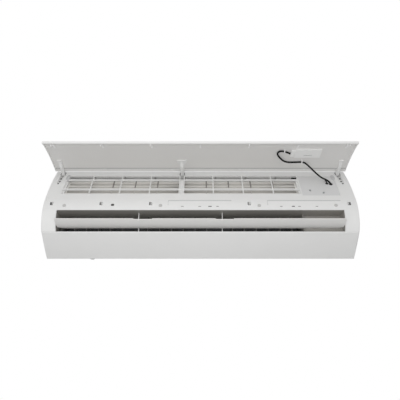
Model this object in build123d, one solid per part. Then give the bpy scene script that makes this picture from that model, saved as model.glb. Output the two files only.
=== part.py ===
from build123d import *
import os
from math import asin, atan2, cos, hypot, pi, radians, sin, tan

# Wall-mounted indoor unit of a split air conditioner, with its front panel swung open.
# Millimetres. X runs along the unit, Y from the front towards the wall, Z up. The origin
# is on the wall face, at the middle of the wall plate. Places in the side section are
# written as a depth behind the front-most point and a height above the bottom edge.

# ---------------------------------------------------------------- driving dimensions
body_width = 920.0
body_height = 292.0
body_depth = 205.0            # front-most point of the casing to the wall
plate_centre_height = 172.0   # the wall plate's middle above the casing's bottom edge
side = body_width / 2         # either end of the casing

# side section of the casing
nose_height = 106.4
nose_radius = 111.0
brow_radius = 640.0
brow_lean = 23.0              # degrees the front leans back where the brow starts
brow_end_drop = 8.0           # front edge of the top deck below the top
deck_front = 92.0
lip_depth = 18.3
lip_height = 50.1
chin_end_depth = 107.3
chin_bulge = 1.5
tail_height = 60.0            # where the underside meets the back
frame_back_gap = 6.0          # back of the casing to the wall

# moulded walls and clearances
frame_wall = 2.5
end_wall = 3.0
end_round = 3.0
duct_wall = 2.5
fit_gap = 0.3                 # between pieces that seat on each other
pin_gap = 0.06                # radial, in a pivot

# openings of the front
grille_left = -side + 44.0
grille_right = side - 159.0
grille_low = 174.0
grille_high = body_height - 27.5
outlet_half = side - 42.0
outlet_high = 110.4
duct_right = outlet_half - 113.0
cover_left = grille_right + 4.0
cover_right = side - 43.0
cover_low = 166.0

# guard bars in the grille opening
bar_width = 3.2
bar_depth = 5.0
bar_inset = 0.6
centre_bar_x = (grille_left + grille_right) / 2
centre_bar_spread = 13.6
bay_pitch = (grille_right - grille_left - centre_bar_spread + 2.0) / 7.8
rail_heights = (196.5, 244.4)
rail_thickness = (4.6, 1.8)

# panel
panel_wall = 2.5
panel_gap = 5.6               # panel's inner face to the casing's face when shut
panel_low = 123.0
panel_high = body_height - 18.0
panel_swing = 62.2            # degrees from open to shut
pivot_depth = 84.0
pivot_height = body_height - 15.0
rim_depth = 4.2
rim_wall = 1.8
tab_count = 7
tab_pitch = (body_width - 56.0) / (tab_count - 1)
tab_width = 3.6
tab_length = 15.0
arm_positions = (-side + 24.0, centre_bar_x, side - 24.0)
arm_width = 9.0
arm_foot_height = 229.0
arm_reach = 4.0
foot_reach = 15.0
eye_radius = 5.0
hinge_pin_radius = 2.2
groove_width = 12.4
groove_wall = 1.8
groove_depth = 12.0

# display board in its case on the panel
case_left = side - 174.0
case_right = side - 96.0
case_low = 167.0
case_high = 207.0
case_depth = 4.2
connector_width = 13.0
connector_depth = 4.0

# lead of the display
lead_diameter = 5.0
lead_inset = -3.05            # its middle, from the casing's face when the panel is shut
panel_route = [(side - 189.2, 188.6), (side - 215.0, 171.0), (side - 230.0, 185.0),
               (side - 220.0, 207.0), (side - 198.0, 231.4), (side - 164.0, 231.3),
               (side - 142.3, 229.8)]                         # x and shut height
span_route = [(side - 130.2, 29.0, 282.6), (side - 93.3, 32.0, 237.4), (side - 69.5, 37.0, 229.5),
              (side - 57.0, 45.0, 219.6), (side - 54.5, 57.0, 206.0)]   # x, depth, height
clip_places = [(side - 207.7, 175.8), (side - 145.7, 230.1)]
clip_width = 3.6
clip_length = 10.0

# short lead of the air sensor, lying on the cover
sensor_lead_diameter = 3.4
sensor_route = [(side - 72.0, 247.0, 9.0), (side - 72.0, 237.0, -2.2), (side - 70.4, 225.0, -2.2),
                (side - 70.0, 215.0, 9.0)]                  # x, height, inset

# louver
louver_low = 53.0
louver_high = 107.0
louver_inset = 1.0
louver_thickness = 3.4
louver_half = outlet_half - 4.0
louver_swing = 68.9           # degrees from shut to its place in use
louver_pivot_depth = 15.5
louver_pivot_height = 70.0
louver_pin_radius = 1.5
louver_pin_length = 7.0
louver_corner = 20.0
louver_notches = ((-9.0, 44.0), (-21.0, 31.0))   # each past its support, in the outer edge
louver_notch_depth = 3.0
bay_width = (outlet_half + duct_right) / 3
support_positions = (bay_width - outlet_half - 4.0, 2 * bay_width - outlet_half)
support_wall = 2.2
support_depth = 35.0
support_length = 9.0

# vertical vanes behind the louver
vane_bays = (15.0 - outlet_half, support_positions[0] + 26.0, support_positions[1] + 31.0)
vanes_per_bay = 6
vane_pitch = bay_width * 0.144
vane_wall = 1.6
vane_front = 36.0
vane_back = 76.0
vane_pivot_depth = 57.0
vane_clearance = 2.5
vane_front_height = 93.0
vane_shoulder = 61.0
vane_pin_radius = 2.0
vane_swing = 30.0
crank_pin_radius = 1.4
crank_depth = 73.0
link_height = 6.0
link_depth = 9.0

# cross-flow fan and motor
fan_depth = 130.0
fan_height = 128.0
fan_radius = 49.0
fan_core_radius = 37.0
fan_left = 14.0 - outlet_half
fan_right = duct_right - 9.0
fan_disc_wall = 2.0
fan_segments = 7
fan_blades = 24
blade_wall = 1.5
shaft_radius = 4.0
scroll_gap = 15.4
motor_radius = 43.0
motor_length = 72.0
motor_gap = 10.0
tongue_depth = 76.0
tongue_height = 113.2

# coil
coil_thickness = 26.0
coil_foot = (42.0, 152.0)
coil_knee = (63.0, 207.0)
coil_peak = (104.0, 252.4)
coil_tail = (176.0, 203.0)
coil_left = 14.0 - outlet_half
coil_right = duct_right - 17.0
coil_joint_gap = 2.0
end_sheet_wall = 1.5
tube_radius = 3.5
tube_pitch = 21.0

# filter
filter_inset = 15.0
filter_wall = 3.0
filter_low = 171.0
filter_turn_height = 252.0
filter_turn_radius = 30.0
filter_back = 165.0
filter_border = 6.0
filter_rib = 2.8
filter_columns = 5
filter_rows = 4
filter_mesh_wall = 0.5
filter_edge_gap = 2.0

# top grille
deck_wall = 4.0
deck_margin = 16.0
slot_rows = 9
slot_columns = 9
slot_rib = 4.0
slot_bar = 4.0

# wall plate
plate_wall = 1.5
plate_width = body_width - 220.0
plate_height = 190.0
plate_hole_radius = 3.0
plate_hole_spacing_x = plate_width - 180.0
plate_hole_spacing_z = 150.0
plate_hook_x = plate_width / 2 - 150.0
plate_hook_width = 40.0

# electrics and pipes
box_depth = 60.0
box_wall = 2.0
liquid_radius = 3.175
suction_radius = 6.35
pipe_bend = 16.0
channel_front = 152.0          # hollow for the pipes along the foot of the back
channel_roof = 62.5
channel_end = side - 42.0      # closed on the right, open through the casing's left end
pipe_exits = [(side - 62.0, 181.0, 46.0, suction_radius), (side - 80.0, 162.5, 42.0, liquid_radius)]
pipe_ends = (side - 400.0, side - 320.0)
pipe_top = 84.0
spigot_radius = 8.0
spigot_bore = 6.5
spigot_place = (130.0 - side, 137.0)
spigot_low = 12.0
spigot_hole = 8.9             # in the chassis, with room for the hose round the spigot
spigot_collar = (11.0, 4.0)   # radius and thickness, inside the casing
bay_half = 20.0               # hollow round the spigot, open to the pipes' channel
bay_front = 118.0
bay_roof = 52.0

# ---------------------------------------------------------------- derived section
casing_back = body_depth - frame_back_gap
brow_end = body_height - brow_end_drop
lean = radians(brow_lean)
brow_start = nose_height + nose_radius * sin(lean)
brow_start_depth = nose_radius * (1 - cos(lean))
cheek_radius = (lip_depth ** 2 + (nose_height - lip_height) ** 2) / (2 * lip_depth)

# each arc of the front as (lowest height, centre depth, centre height, radius)
front_arcs = [
    (lip_height, cheek_radius, nose_height, cheek_radius),
    (nose_height, nose_radius, nose_height, nose_radius),
    (brow_start, brow_start_depth + brow_radius * cos(lean),
     brow_start - brow_radius * sin(lean), brow_radius),
]


def yz(depth, height):
    """Place of a section point in the model's Y and Z."""
    return (depth - body_depth, height - plate_centre_height)


def arc_at(height):
    """The front's arc that holds a height."""
    return [arc for arc in front_arcs if height >= arc[0] or arc is front_arcs[0]][-1]


def front_point(height, inset=0.0, arc=None):
    """Point of the front at a height, moved square to the front into the casing."""
    _, depth, middle, radius = arc or arc_at(height)
    angle = asin((height - middle) / radius)
    reach = radius - inset
    return (depth - reach * cos(angle), middle + reach * sin(angle))


def front_edges(low, high, inset=0.0):
    """The front's arcs between two heights, at an inset."""
    stops = [low] + [arc[0] for arc in front_arcs if low < arc[0] < high] + [high]
    edges = []
    for start, end in zip(stops, stops[1:]):
        middle = (start + end) / 2
        heights = (start, middle, end)
        points = [front_point(height, inset, arc_at(middle)) for height in heights]
        edges.append(ThreePointArc(*[yz(*point) for point in points]))
    return edges


def front_strip(low, high, outer, inner):
    """Region between two insets of the front, from one height to another."""
    outside = front_edges(low, high, outer)
    inside = front_edges(low, high, inner)
    edges = list(outside)
    edges.append(Line(outside[-1] @ 1, inside[-1] @ 1))
    edges.extend(reversed(inside))
    edges.append(Line(inside[0] @ 0, outside[0] @ 0))
    return make_face(edges)


def polygon(*points):
    """Region inside section points."""
    return make_face(Polyline(*[yz(*p) for p in points], close=True))


def disc(depth, height, radius):
    """Round region of the section."""
    return Pos(*yz(depth, height)) * Circle(radius)


def sheet(points, thickness):
    """Bent sheet along section points, of even thickness."""
    return trace(Polyline(*[yz(*p) for p in points]), thickness)


def along(section, start, end):
    """Solid of a side section, from one X to another."""
    return extrude(Plane.YZ.offset(start) * section, amount=end - start)


def block(x_range, depth_range, height_range):
    """Box given by its ranges."""
    y_low, z_low = yz(depth_range[0], height_range[0])
    y_high, z_high = yz(depth_range[1], height_range[1])
    size = (x_range[1] - x_range[0], y_high - y_low, z_high - z_low)
    centre = ((x_range[0] + x_range[1]) / 2, (y_low + y_high) / 2, (z_low + z_high) / 2)
    return Pos(*centre) * Box(*size)


def rod(start, end, depth, height, radius):
    """Round bar along X."""
    return along(disc(depth, height, radius), start, end)


def post(x, depth, low, high, radius):
    """Upright round pin."""
    y, z = yz(depth, low)
    return extrude(Plane((x, y, z)) * Circle(radius), amount=high - low)


def stud(x, height, radius, proud, sunk):
    """Round head square to the front."""
    y, z = yz(*front_point(height, sunk))
    y_out, z_out = yz(*front_point(height, sunk - 1))
    plane = Plane((x, y, z), z_dir=(0, y_out - y, z_out - z))
    return extrude(plane * Circle(radius), amount=proud + sunk)


def about(shape, depth, height, angle):
    """Shape turned about an axis along X."""
    y, z = yz(depth, height)
    return shape.rotate(Axis((0, y, z), (1, 0, 0)), angle)


def swung_open(shape):
    """Shape modelled on the shut panel, moved with it to where the panel stands open."""
    return about(shape, pivot_depth, pivot_height, -panel_swing)


def bundle(*shapes):
    """Separate solids kept side by side in one node."""
    pieces = []
    for shape in shapes:
        pieces.extend(shape.solids())
    return Compound(children=pieces)


def save(name, shape):
    """Write one node."""
    export_step(shape, os.path.join("parts", name + ".step"))


# ---------------------------------------------------------------- derived places
inner_left = -side + end_wall
inner_right = side - end_wall
ceiling_start = (frame_wall + 0.6, outlet_high + 0.8)
ceiling_slope = (tongue_height - ceiling_start[1]) / (tongue_depth - ceiling_start[0])
scroll_radius = fan_radius + scroll_gap
floor_start = (lip_depth + 9.2, lip_height + 1.3)
reach = hypot(fan_depth - floor_start[0], fan_height - floor_start[1])
floor_angle = (atan2(fan_height - floor_start[1], fan_depth - floor_start[0])
               - asin(scroll_radius / reach))
floor_slope = tan(floor_angle)
floor_end = (fan_depth + scroll_radius * sin(floor_angle),
             fan_height - scroll_radius * cos(floor_angle))
tail_slope = tail_height / (casing_back - chin_end_depth)


def ceiling(depth):
    """Lower face of the air duct's roof."""
    return ceiling_start[1] + ceiling_slope * (depth - ceiling_start[0])


def floor(depth):
    """Upper face of the air duct's floor."""
    return floor_start[1] + floor_slope * (depth - floor_start[0])


def tail(depth):
    """Underside of the casing behind the chin."""
    return tail_slope * (depth - chin_end_depth)


def casing_section():
    """Side section of the whole casing."""
    front = front_edges(lip_height, brow_end)
    chin = SagittaArc(front[0] @ 0, yz(chin_end_depth, 0), -chin_bulge)
    corners = [(chin_end_depth, 0), (casing_back, tail_height), (casing_back, body_height),
               (deck_front, body_height)]
    rest = Polyline(*[yz(*p) for p in corners], front[-1] @ 1)
    return make_face([*front, *rest.edges(), chin])


casing = casing_section()

# small openings of the strip below the grille: (x, height, width, tall)
catch_slots = [(x, 133.0, 9.0, 12.0)
               for x in (24.0 - side, -0.6326 * side, -0.3174 * side, 0.3109 * side, side - 24.0)]
dash_slots = [(share * side, 122.4, 8.0, 2.2)
              for share in (-0.1152, -0.0043, 0.1087, 0.5130, 0.6283, 0.7391)]
drain_slots = [(0.0609 * side, 122.4, 10.0, 3.6), (0.5891 * side, 122.4, 9.0, 3.6),
               (-0.5587 * side, 128.4, 9.0, 8.0)]
raised_pads = ((-0.2054 * side, 0.1978 * side), (0.4283 * side, side - 48.0))
cap_places = [(62.0 - side, 126.0), (-0.2543 * side, 126.0), (0.3739 * side, 126.0),
              (side - 64.0, 126.0)]
cover_screws = [(cover_left + 26.0, 189.5), (cover_left + 65.0, 179.0)]


def arm_pocket(x, low, floored):
    """Walls that hold a hinge pin behind the front, and the room between them for the arm."""
    half = groove_width / 2
    outside = along(front_strip(low, brow_end - 1, frame_wall - 0.5, groove_depth),
                    x - half - groove_wall, x + half + groove_wall)
    if not floored:
        return outside, along(front_strip(low - 1, brow_end + 4, -3, groove_depth + 1),
                              x - half, x + half)
    deep_low = pivot_height - 27
    room = along(front_strip(low + groove_wall, brow_end + 4, -3, arm_reach + 0.8),
                 x - half, x + half)
    room += along(front_strip(deep_low, brow_end + 4, -3, groove_depth - groove_wall),
                  x - half, x + half)
    for height in (low + 8, low + 17):
        room += stud(x, height, 1.5, -3, groove_depth + 1)
    return outside, room


def front_frame():
    """Moulded front casing with its end walls, open at the back, below and on top."""
    body = along(casing, -side, side)
    rounded = [edge for edge in body.edges().filter_by(GeomType.CIRCLE)
               if abs(abs(edge.center().X) - side) < 1e-3]
    body = fillet(rounded, end_round)
    body -= along(offset(casing, -frame_wall), inner_left, inner_right)
    body -= block((inner_left, inner_right), (casing_back - frame_wall - 0.5, casing_back + 1),
                  (tail_height - 8, body_height + 1))
    start = chin_end_depth + 8
    body -= along(polygon((start, -1), (casing_back + 1, tail(casing_back + 1) - 6),
                          (casing_back + 1, tail(casing_back) + 8), (start, tail(start) + 8)),
                  inner_left, inner_right)
    body -= block((-side - 1, inner_left + 1), (channel_front, casing_back + 1),
                  (-1, channel_roof))
    body -= block((-side + deck_margin, side - deck_margin),
                  (deck_front + 4, casing_back + 1), (body_height - 8, body_height + 1))
    body -= along(front_strip(grille_low, grille_high, -3, 8), grille_left, grille_right)
    body -= along(front_strip(cover_low, grille_high, -3, 8), cover_left, cover_right)
    body -= along(polygon((-5, lip_height), (45, lip_height), (45, outlet_high), (-5, outlet_high)),
                  -outlet_half, outlet_half)
    for left, right in raised_pads:
        body += along(front_strip(outlet_high + 1.5, 143, -0.6, 0.5), left, right)
    for x in arm_positions:
        floored = abs(x) > abs(grille_left)
        outside, room = arm_pocket(x, arm_foot_height - 4 if floored else grille_high, floored)
        body = body + outside - room
        body -= rod(x - groove_width, x + groove_width, pivot_depth, pivot_height, hinge_pin_radius)
    for x, height, width, tall in catch_slots:
        low, high = height - tall / 2, height + tall / 2
        body += along(front_strip(low - 1.5, high + 1.5, frame_wall - 0.5, 8.0),
                      x - width / 2 - 1.5, x + width / 2 + 1.5)
        body -= along(front_strip(low, high, -2, 6.5), x - width / 2, x + width / 2)
    for x, height, width, tall in dash_slots + drain_slots:
        body -= along(front_strip(height - tall / 2, height + tall / 2, -2, frame_wall + 1),
                      x - width / 2, x + width / 2)
    for x, height in cap_places:
        body -= stud(x, height, 5.6, 2, 1.2)
    behind_bars = bar_inset + bar_depth + fit_gap
    for outer, start, end in ((frame_wall - 0.5, grille_left - 4, grille_left),
                              (behind_bars, grille_left - 1, grille_left + 5),
                              (frame_wall - 0.5, grille_right, grille_right + 3.5),
                              (behind_bars, grille_right - 4, grille_right + 1)):
        body += along(front_strip(grille_low - 2, 250, outer, filter_inset - fit_gap), start, end)
    seat = polygon((lip_depth + 1, lip_height), (floor_start[0] - fit_gap, floor_start[1] - 0.4),
                   (floor_start[0] - fit_gap, floor_start[1] - 3.0), (lip_depth + 3, lip_height - 3))
    return body + along(seat, inner_left + 1, inner_right - 1)


def guard_bars():
    """Upright and long bars across the grille opening, moulded in one piece."""
    half = centre_bar_spread / 2
    places = [centre_bar_x - half, centre_bar_x + half]
    places += [centre_bar_x + way * (half - 1 + bay_pitch * count)
               for way in (-1, 1) for count in (1, 2, 3)]
    bars = [along(front_strip(grille_low, grille_high, bar_inset, bar_inset + bar_depth),
                  x - bar_width / 2, x + bar_width / 2) for x in places]
    rails = [along(front_strip(height - thick / 2, height + thick / 2, bar_inset - 0.3,
                               bar_inset + bar_depth - 1), grille_left, grille_right)
             for height, thick in zip(rail_heights, rail_thickness)]
    track = along(front_strip(grille_low + 1, 250, bar_inset + 1, filter_inset - fit_gap),
                  centre_bar_x - 4.5, centre_bar_x + 4.5)
    body = rails[0].fuse(rails[1], track, *bars)
    gap = half - bar_width / 2
    return body - along(front_strip(arm_foot_height + 6, grille_high + 1, -1, arm_reach + 0.8),
                        centre_bar_x - gap, centre_bar_x + gap)


def front_panel():
    """Curved front panel with its rim, catch hooks and stiffening rib."""
    inner = -panel_gap
    body = along(front_strip(panel_low, panel_high, inner - panel_wall, inner),
                 -side, side)
    body += along(front_strip(panel_low, panel_low + rim_wall, inner - 0.5, inner + rim_depth),
                  -side, side)
    for start in (-side, side - rim_wall):
        body += along(front_strip(panel_low, panel_high - 4, inner - 0.5, inner + rim_depth),
                      start, start + rim_wall)
    rib_low = panel_high - 13
    rib = along(front_strip(rib_low, rib_low + 1.6, inner - 0.5, inner + 1.4),
                -side + rim_wall, side - rim_wall)
    for x in arm_positions:
        rib -= along(front_strip(rib_low - 1, rib_low + 3, inner, inner + 2),
                     x - arm_width / 2 - fit_gap, x + arm_width / 2 + fit_gap)
    for x in (-0.654 * side, -0.196 * side, 0.271 * side, 0.712 * side):
        rib += along(front_strip(rib_low + 0.5, rib_low + 5, inner - 0.5, inner + 3),
                     x - 3.5, x + 3.5)
    body += rib
    for count in range(tab_count):
        x = (count - (tab_count - 1) / 2) * tab_pitch
        body += along(front_strip(panel_low, panel_low + tab_length, inner - 0.5,
                                  inner + rim_depth - 0.4), x - tab_width / 2, x + tab_width / 2)
    for x, height, *_ in catch_slots:
        body += along(front_strip(height - 3.5, height + 2.5, inner - 0.5, 4.0), x - 1.5, x + 1.5)
    return swung_open(body)


def panel_arm(x):
    """Arm from the panel's inner face to its eye round the hinge pin."""
    inner = -panel_gap
    foot, taper_end = arm_foot_height - 1, arm_foot_height + 17
    neck_low, neck_high = pivot_height - 19, pivot_height - 10
    web = front_strip(arm_foot_height, neck_high + 1, inner, arm_reach)
    web -= polygon(front_point(foot, inner + 1.2), front_point(taper_end, arm_reach),
                   front_point(taper_end, arm_reach + 3), front_point(foot, arm_reach + 3))
    neck = polygon(front_point(neck_low, inner + 1), front_point(neck_low, arm_reach),
                   (pivot_depth + 1.5, pivot_height - eye_radius + 0.4), (pivot_depth, pivot_height),
                   (pivot_depth - 2.5, pivot_height + eye_radius - 0.8),
                   front_point(neck_high, inner + 1))
    profile = web + neck + disc(pivot_depth, pivot_height, eye_radius)
    profile -= disc(pivot_depth, pivot_height, hinge_pin_radius + pin_gap)
    return along(profile, x - arm_width / 2, x + arm_width / 2)


def panel_arms():
    """Three hinge arms of the panel, each with a cross rib at its foot."""
    low, inner = arm_foot_height, -panel_gap
    arms = []
    for x in arm_positions:
        reach = foot_reach if abs(x) < abs(grille_left) else arm_width / 2 + 2.5
        foot = along(front_strip(low - 5, low - 1, inner, inner + 3.4), x - reach, x + reach)
        foot += along(front_strip(low - 4, low + 8, inner, inner + 2.6), x - arm_width / 2 - 2,
                      x + arm_width / 2 + 2)
        arms.append(swung_open(panel_arm(x) + foot))
    return bundle(*arms)


def hinge_pins():
    """Pins the arms turn on, held in the casing's pocket walls."""
    half = groove_width / 2 + groove_wall
    return bundle(*[rod(x - half, x + half, pivot_depth, pivot_height, hinge_pin_radius)
                    for x in arm_positions])


def display_case():
    """Shallow lid over the display board on the panel's inner face."""
    inner = -panel_gap
    body = along(front_strip(case_low, case_high, inner, inner + case_depth), case_left, case_right)
    wall = 1.2
    body -= along(front_strip(case_low + wall, case_high - wall, inner - 1,
                              inner + case_depth - wall), case_left + wall, case_right - wall)
    slot_low = case_low + 28
    body -= along(front_strip(slot_low, slot_low + 2.4, inner + 2, inner + case_depth + 1),
                  case_left + 27, case_left + 52)
    return swung_open(body)


def display_board():
    """Circuit board of the display, inside the case."""
    inner = -panel_gap
    board = along(front_strip(case_low + 3, case_high - 3, inner + fit_gap, inner + 1.9),
                  case_left + 3, case_right - 3)
    return swung_open(board)


def display_plug():
    """Plug of the display's lead, beside the case."""
    inner = -panel_gap
    body = along(front_strip(case_low + 6, case_high - 4, inner, inner + connector_depth),
                 case_left - connector_width - fit_gap, case_left - fit_gap)
    return swung_open(body)


def joined_path(name, points):
    """Line of a lead through its corners, each rounded as wide as its runs let it."""
    corners = [Vector(*point) for point in points]
    radii = []
    for before, corner, after in zip(corners, corners[1:], corners[2:]):
        first, second = corner - before, after - corner
        half_turn = radians(first.get_angle(second)) / 2
        radii.append(0.45 * min(first.length, second.length) / tan(half_turn))
    print(name, "bend radii", [round(radius, 1) for radius in radii])
    return FilletPolyline(*corners, radius=radii)


def tube(path, radius):
    """Round cord along a path."""
    return sweep(Plane(path @ 0, z_dir=path % 0) * Circle(radius), path=path)


def display_lead_path():
    """Route of the display's lead over the open panel."""
    points = []
    for x, height in panel_route:
        y, z = yz(*front_point(height, lead_inset))
        lifted = Pos(x, y, z) * Sphere(0.1)
        points.append(tuple(swung_open(lifted).center()))
    return joined_path("display lead on the panel", points)


def span_path():
    """Route of the same lead from the panel across to the cover."""
    x, height = panel_route[-1]
    y, z = yz(*front_point(height, lead_inset))
    start = swung_open(Pos(x + 1.8, y, z) * Sphere(0.1)).center()
    points = [tuple(start)] + [(px, *yz(depth, high)) for px, depth, high in span_route]
    return joined_path("display lead between panel and cover", points)


def sensor_lead_path():
    """Route of the air sensor's lead over the cover."""
    points = [(x, *yz(*front_point(height, inset))) for x, height, inset in sensor_route]
    return joined_path("sensor lead", points)


def lead_clips():
    """Clips that hold the display's lead on the panel."""
    lead = tube(display_lead_path(), lead_diameter / 2 + 0.02)
    inner = -panel_gap
    clips = []
    for x, height in clip_places:
        half = clip_length / 2
        section = front_strip(height - half, height + half, inner, -0.15)
        clips.append(swung_open(along(section, x - clip_width / 2, x + clip_width / 2)) - lead)
    return bundle(*clips)


def leads():
    """Both leads; the display's is in two nodes, one on the panel and one that flexes."""
    radius = lead_diameter / 2
    save("display_lead", tube(display_lead_path(), radius))
    save("display_lead_span", tube(span_path(), radius))
    save("lead_clips", lead_clips())
    save("sensor_lead", tube(sensor_lead_path(), sensor_lead_diameter / 2))


def display_pieces():
    """Pieces of the display on the panel."""
    save("display_case", display_case())
    save("display_board", display_board())
    save("display_plug", display_plug())


def control_cover():
    """Curved cover of the electric box, beside the grille opening."""
    body = along(front_strip(cover_low + fit_gap, grille_high - fit_gap, 1.0, 3.0),
                 cover_left + fit_gap, cover_right - fit_gap)
    body -= tube(span_path(), lead_diameter / 2 + fit_gap)
    body -= tube(sensor_lead_path(), sensor_lead_diameter / 2 + fit_gap)
    for x in (cover_left + 11, cover_left + 51, cover_left + 77):
        body -= stud(x, grille_high - 13.5, 1.3, 3, 6)
    for x, height in cover_screws:
        body -= stud(x, height, 1.6, 3, 6)
    return body


def control_box():
    """Metal box for the electrics, open to the front under its cover."""
    left, right = duct_right + duct_wall + 1.0, cover_right - 2
    body = along(front_strip(cover_low + 11, grille_high - 4, 3.0, box_depth), left, right)
    body -= along(front_strip(cover_low + 11 + box_wall, grille_high - 4 - box_wall, 2,
                              box_depth - box_wall), left + box_wall, right - box_wall)
    body -= tube(span_path(), lead_diameter / 2 + fit_gap)
    for x, height in cover_screws:
        body += stud(x, height, 4.0, -3.4, 14)
        body += along(front_strip(cover_low + 12, height, 4.0, 14.0), x - 1, x + 1)
        body -= stud(x, height, 1.6, -2, 15)
    return body


def control_board():
    """Control board with its relay, capacitor and terminal strip."""
    left, right = duct_right + duct_wall + 7, cover_right - 8
    back = box_depth - box_wall
    board = along(front_strip(198, 250, back - 8, back - 6.4), left, right)
    feet = [along(front_strip(height, height + 5, back - 6.6, back), x, x + 5)
            for x in (left + 3, right - 8) for height in (201, 243)]
    board = board.fuse(*feet)
    board += rod(left + 12, left + 36, *front_point(226, back - 16), 8.5)
    board += along(front_strip(208, 222, back - 26, back - 7.9), left + 50, left + 68)
    board += along(front_strip(204, 214, back - 22, back - 7.9), right - 24, right - 3)
    return board


def top_grille():
    """Slotted plate in the top of the casing."""
    left, right = -side + deck_margin + fit_gap, side - deck_margin - fit_gap
    front, back = deck_front + 4 + fit_gap, casing_back - frame_wall - 1
    plate = block((left, right), (front, back), (body_height - deck_wall, body_height))
    row_pitch = (back - front - slot_bar) / slot_rows
    column_pitch = (right - left - slot_rib) / slot_columns
    slots = [block((left + slot_rib + column_pitch * column, left + column_pitch * (column + 1)),
                   (front + slot_bar + row_pitch * row, front + row_pitch * (row + 1)),
                   (body_height - deck_wall - 1, body_height + 1))
             for row in range(slot_rows) for column in range(slot_columns)]
    return plate.cut(*slots)


def filter_path(shift):
    """Arcs and run of the filter's outline, moved square to it by a shift."""
    _, depth, height, radius = front_arcs[-1]
    inset = filter_inset + shift
    turn = filter_turn_radius - shift
    angle = asin((filter_turn_height - height) / radius)
    hub = radius - filter_inset - filter_turn_radius
    hub_depth, hub_height = depth - hub * cos(angle), height + hub * sin(angle)
    front = front_edges(filter_low, filter_turn_height, inset)
    half = angle + (pi / 2 - angle) / 2
    points = [(hub_depth - turn * cos(a), hub_height + turn * sin(a)) for a in (half, pi / 2)]
    turn_arc = ThreePointArc(front[-1] @ 1, yz(*points[0]), yz(*points[1]))
    run = Line(turn_arc @ 1, yz(filter_back, hub_height + turn))
    return [*front, turn_arc, run], hub_height + turn


def filter_section(outer_shift, inner_shift):
    """Side section of a filter between two shifts."""
    outside, _ = filter_path(outer_shift)
    inside, _ = filter_path(inner_shift)
    ends = [Line(outside[-1] @ 1, inside[-1] @ 1), Line(inside[0] @ 0, outside[0] @ 0)]
    return make_face([*outside, ends[0], *reversed(inside), ends[1]])


def air_filter(left, right):
    """Washable filter: a ribbed frame and its thin mesh."""
    frame = along(filter_section(0, filter_wall), left, right)
    _, top = filter_path(0)
    cell_width = (right - left - 2 * filter_border + filter_rib) / filter_columns
    front_low = filter_low + filter_border
    cell_height = (filter_turn_height - front_low) / filter_rows
    top_start = deck_front + 8
    top_length = (filter_back - filter_border - top_start) / 2
    cells = []
    for column in range(filter_columns):
        start = left + filter_border + column * cell_width
        end = start + cell_width - filter_rib
        for row in range(filter_rows):
            low = front_low + row * cell_height
            cells.append(along(front_strip(low, low + cell_height - filter_rib, filter_inset - 1,
                                           filter_inset + filter_wall + 1), start, end))
        for row in range(2):
            low = top_start + row * top_length
            cells.append(block((start, end), (low, low + top_length - filter_rib),
                               (top - filter_wall - 1, top + 1)))
    frame = frame.cut(*cells)
    middle = (left + right) / 2
    for x in (middle - 47, middle + 47):
        grip = front_strip(filter_low - 4, filter_low + 9, filter_inset - 5, filter_inset + 1)
        frame += along(grip, x - 7, x + 7)
    mesh = along(filter_section(filter_wall, filter_wall + filter_mesh_wall), left + 2, right - 2)
    return bundle(frame, mesh)


def filters():
    """Left and right filters behind the guard bars."""
    edge = filter_edge_gap
    save("left_filter", air_filter(grille_left + edge, centre_bar_x - edge))
    save("right_filter", air_filter(centre_bar_x + edge, grille_right - edge))


def coil_slab(start, end, start_trims, end_trims):
    """One straight bank of the coil: its four corners, its run and the way into the coil.

    Each end is trimmed by one length on the outer face and another on the inner one.
    """
    length = hypot(end[0] - start[0], end[1] - start[1])
    run = ((end[0] - start[0]) / length, (end[1] - start[1]) / length)
    inward = (run[1], -run[0])

    def corner(along_run, depth_in):
        return (start[0] + run[0] * along_run + inward[0] * depth_in,
                start[1] + run[1] * along_run + inward[1] * depth_in)

    corners = (corner(start_trims[0], 0), corner(length - end_trims[0], 0),
               corner(length - end_trims[1], coil_thickness), corner(start_trims[1], coil_thickness))
    first = start_trims[1] * 0.73 + tube_radius + 1
    last = length - end_trims[1] * 0.73 - tube_radius - 1 - tube_pitch / 2
    count = int((last - first) // tube_pitch) + 1
    tubes = [(corner(first + tube_pitch * i, coil_thickness * 0.27),
              corner(first + tube_pitch * (i + 0.5), coil_thickness * 0.73)) for i in range(count)]
    return corners, tubes


coil_banks = [
    coil_slab(coil_foot, coil_knee, (0, 0), (0.3, 4.2)),
    coil_slab(coil_knee, coil_peak, (0.3, 4.2), (1.0, 28.0)),
    coil_slab((coil_peak[0] + coil_joint_gap, coil_peak[1]), coil_tail, (0, 27.2), (0, 0)),
]


def coil():
    """Three finned banks, their end sheets, and the return bends beyond the sheets."""
    left, right = coil_left + end_sheet_wall, coil_right - end_sheet_wall
    banks = [polygon(*corners) for corners, _ in coil_banks]
    save("coil_fins", bundle(*[along(bank, left, right) for bank in banks]))
    joints = [polygon(first[1], second[0], second[3], first[2])
              for (first, _), (second, _) in zip(coil_banks, coil_banks[1:])]
    sheets = []
    for start in (coil_left, right):
        pieces = [along(shape, start, start + end_sheet_wall) for shape in banks + joints]
        sheets.append(pieces[0].fuse(*pieces[1:]))
    save("coil_end_sheets", bundle(*sheets))
    bends = []
    for _, tubes in coil_banks:
        for places in tubes:
            for x, way in ((coil_right, 1), (coil_left, -1)):
                bends.append(return_bend(x, way, *places))
    save("coil_tubes", bundle(*bends))


def return_bend(x, way, first, second):
    """Half-ring of tube between two places of an end sheet."""
    start = Vector(x, *yz(*first))
    end = Vector(x, *yz(*second))
    middle = (start + end) * 0.5 + Vector(way * (end - start).length / 2, 0, 0)
    path = ThreePointArc(start, middle, end)
    return sweep(Plane(start, z_dir=(way, 0, 0)) * Circle(tube_radius), path=path)


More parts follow.
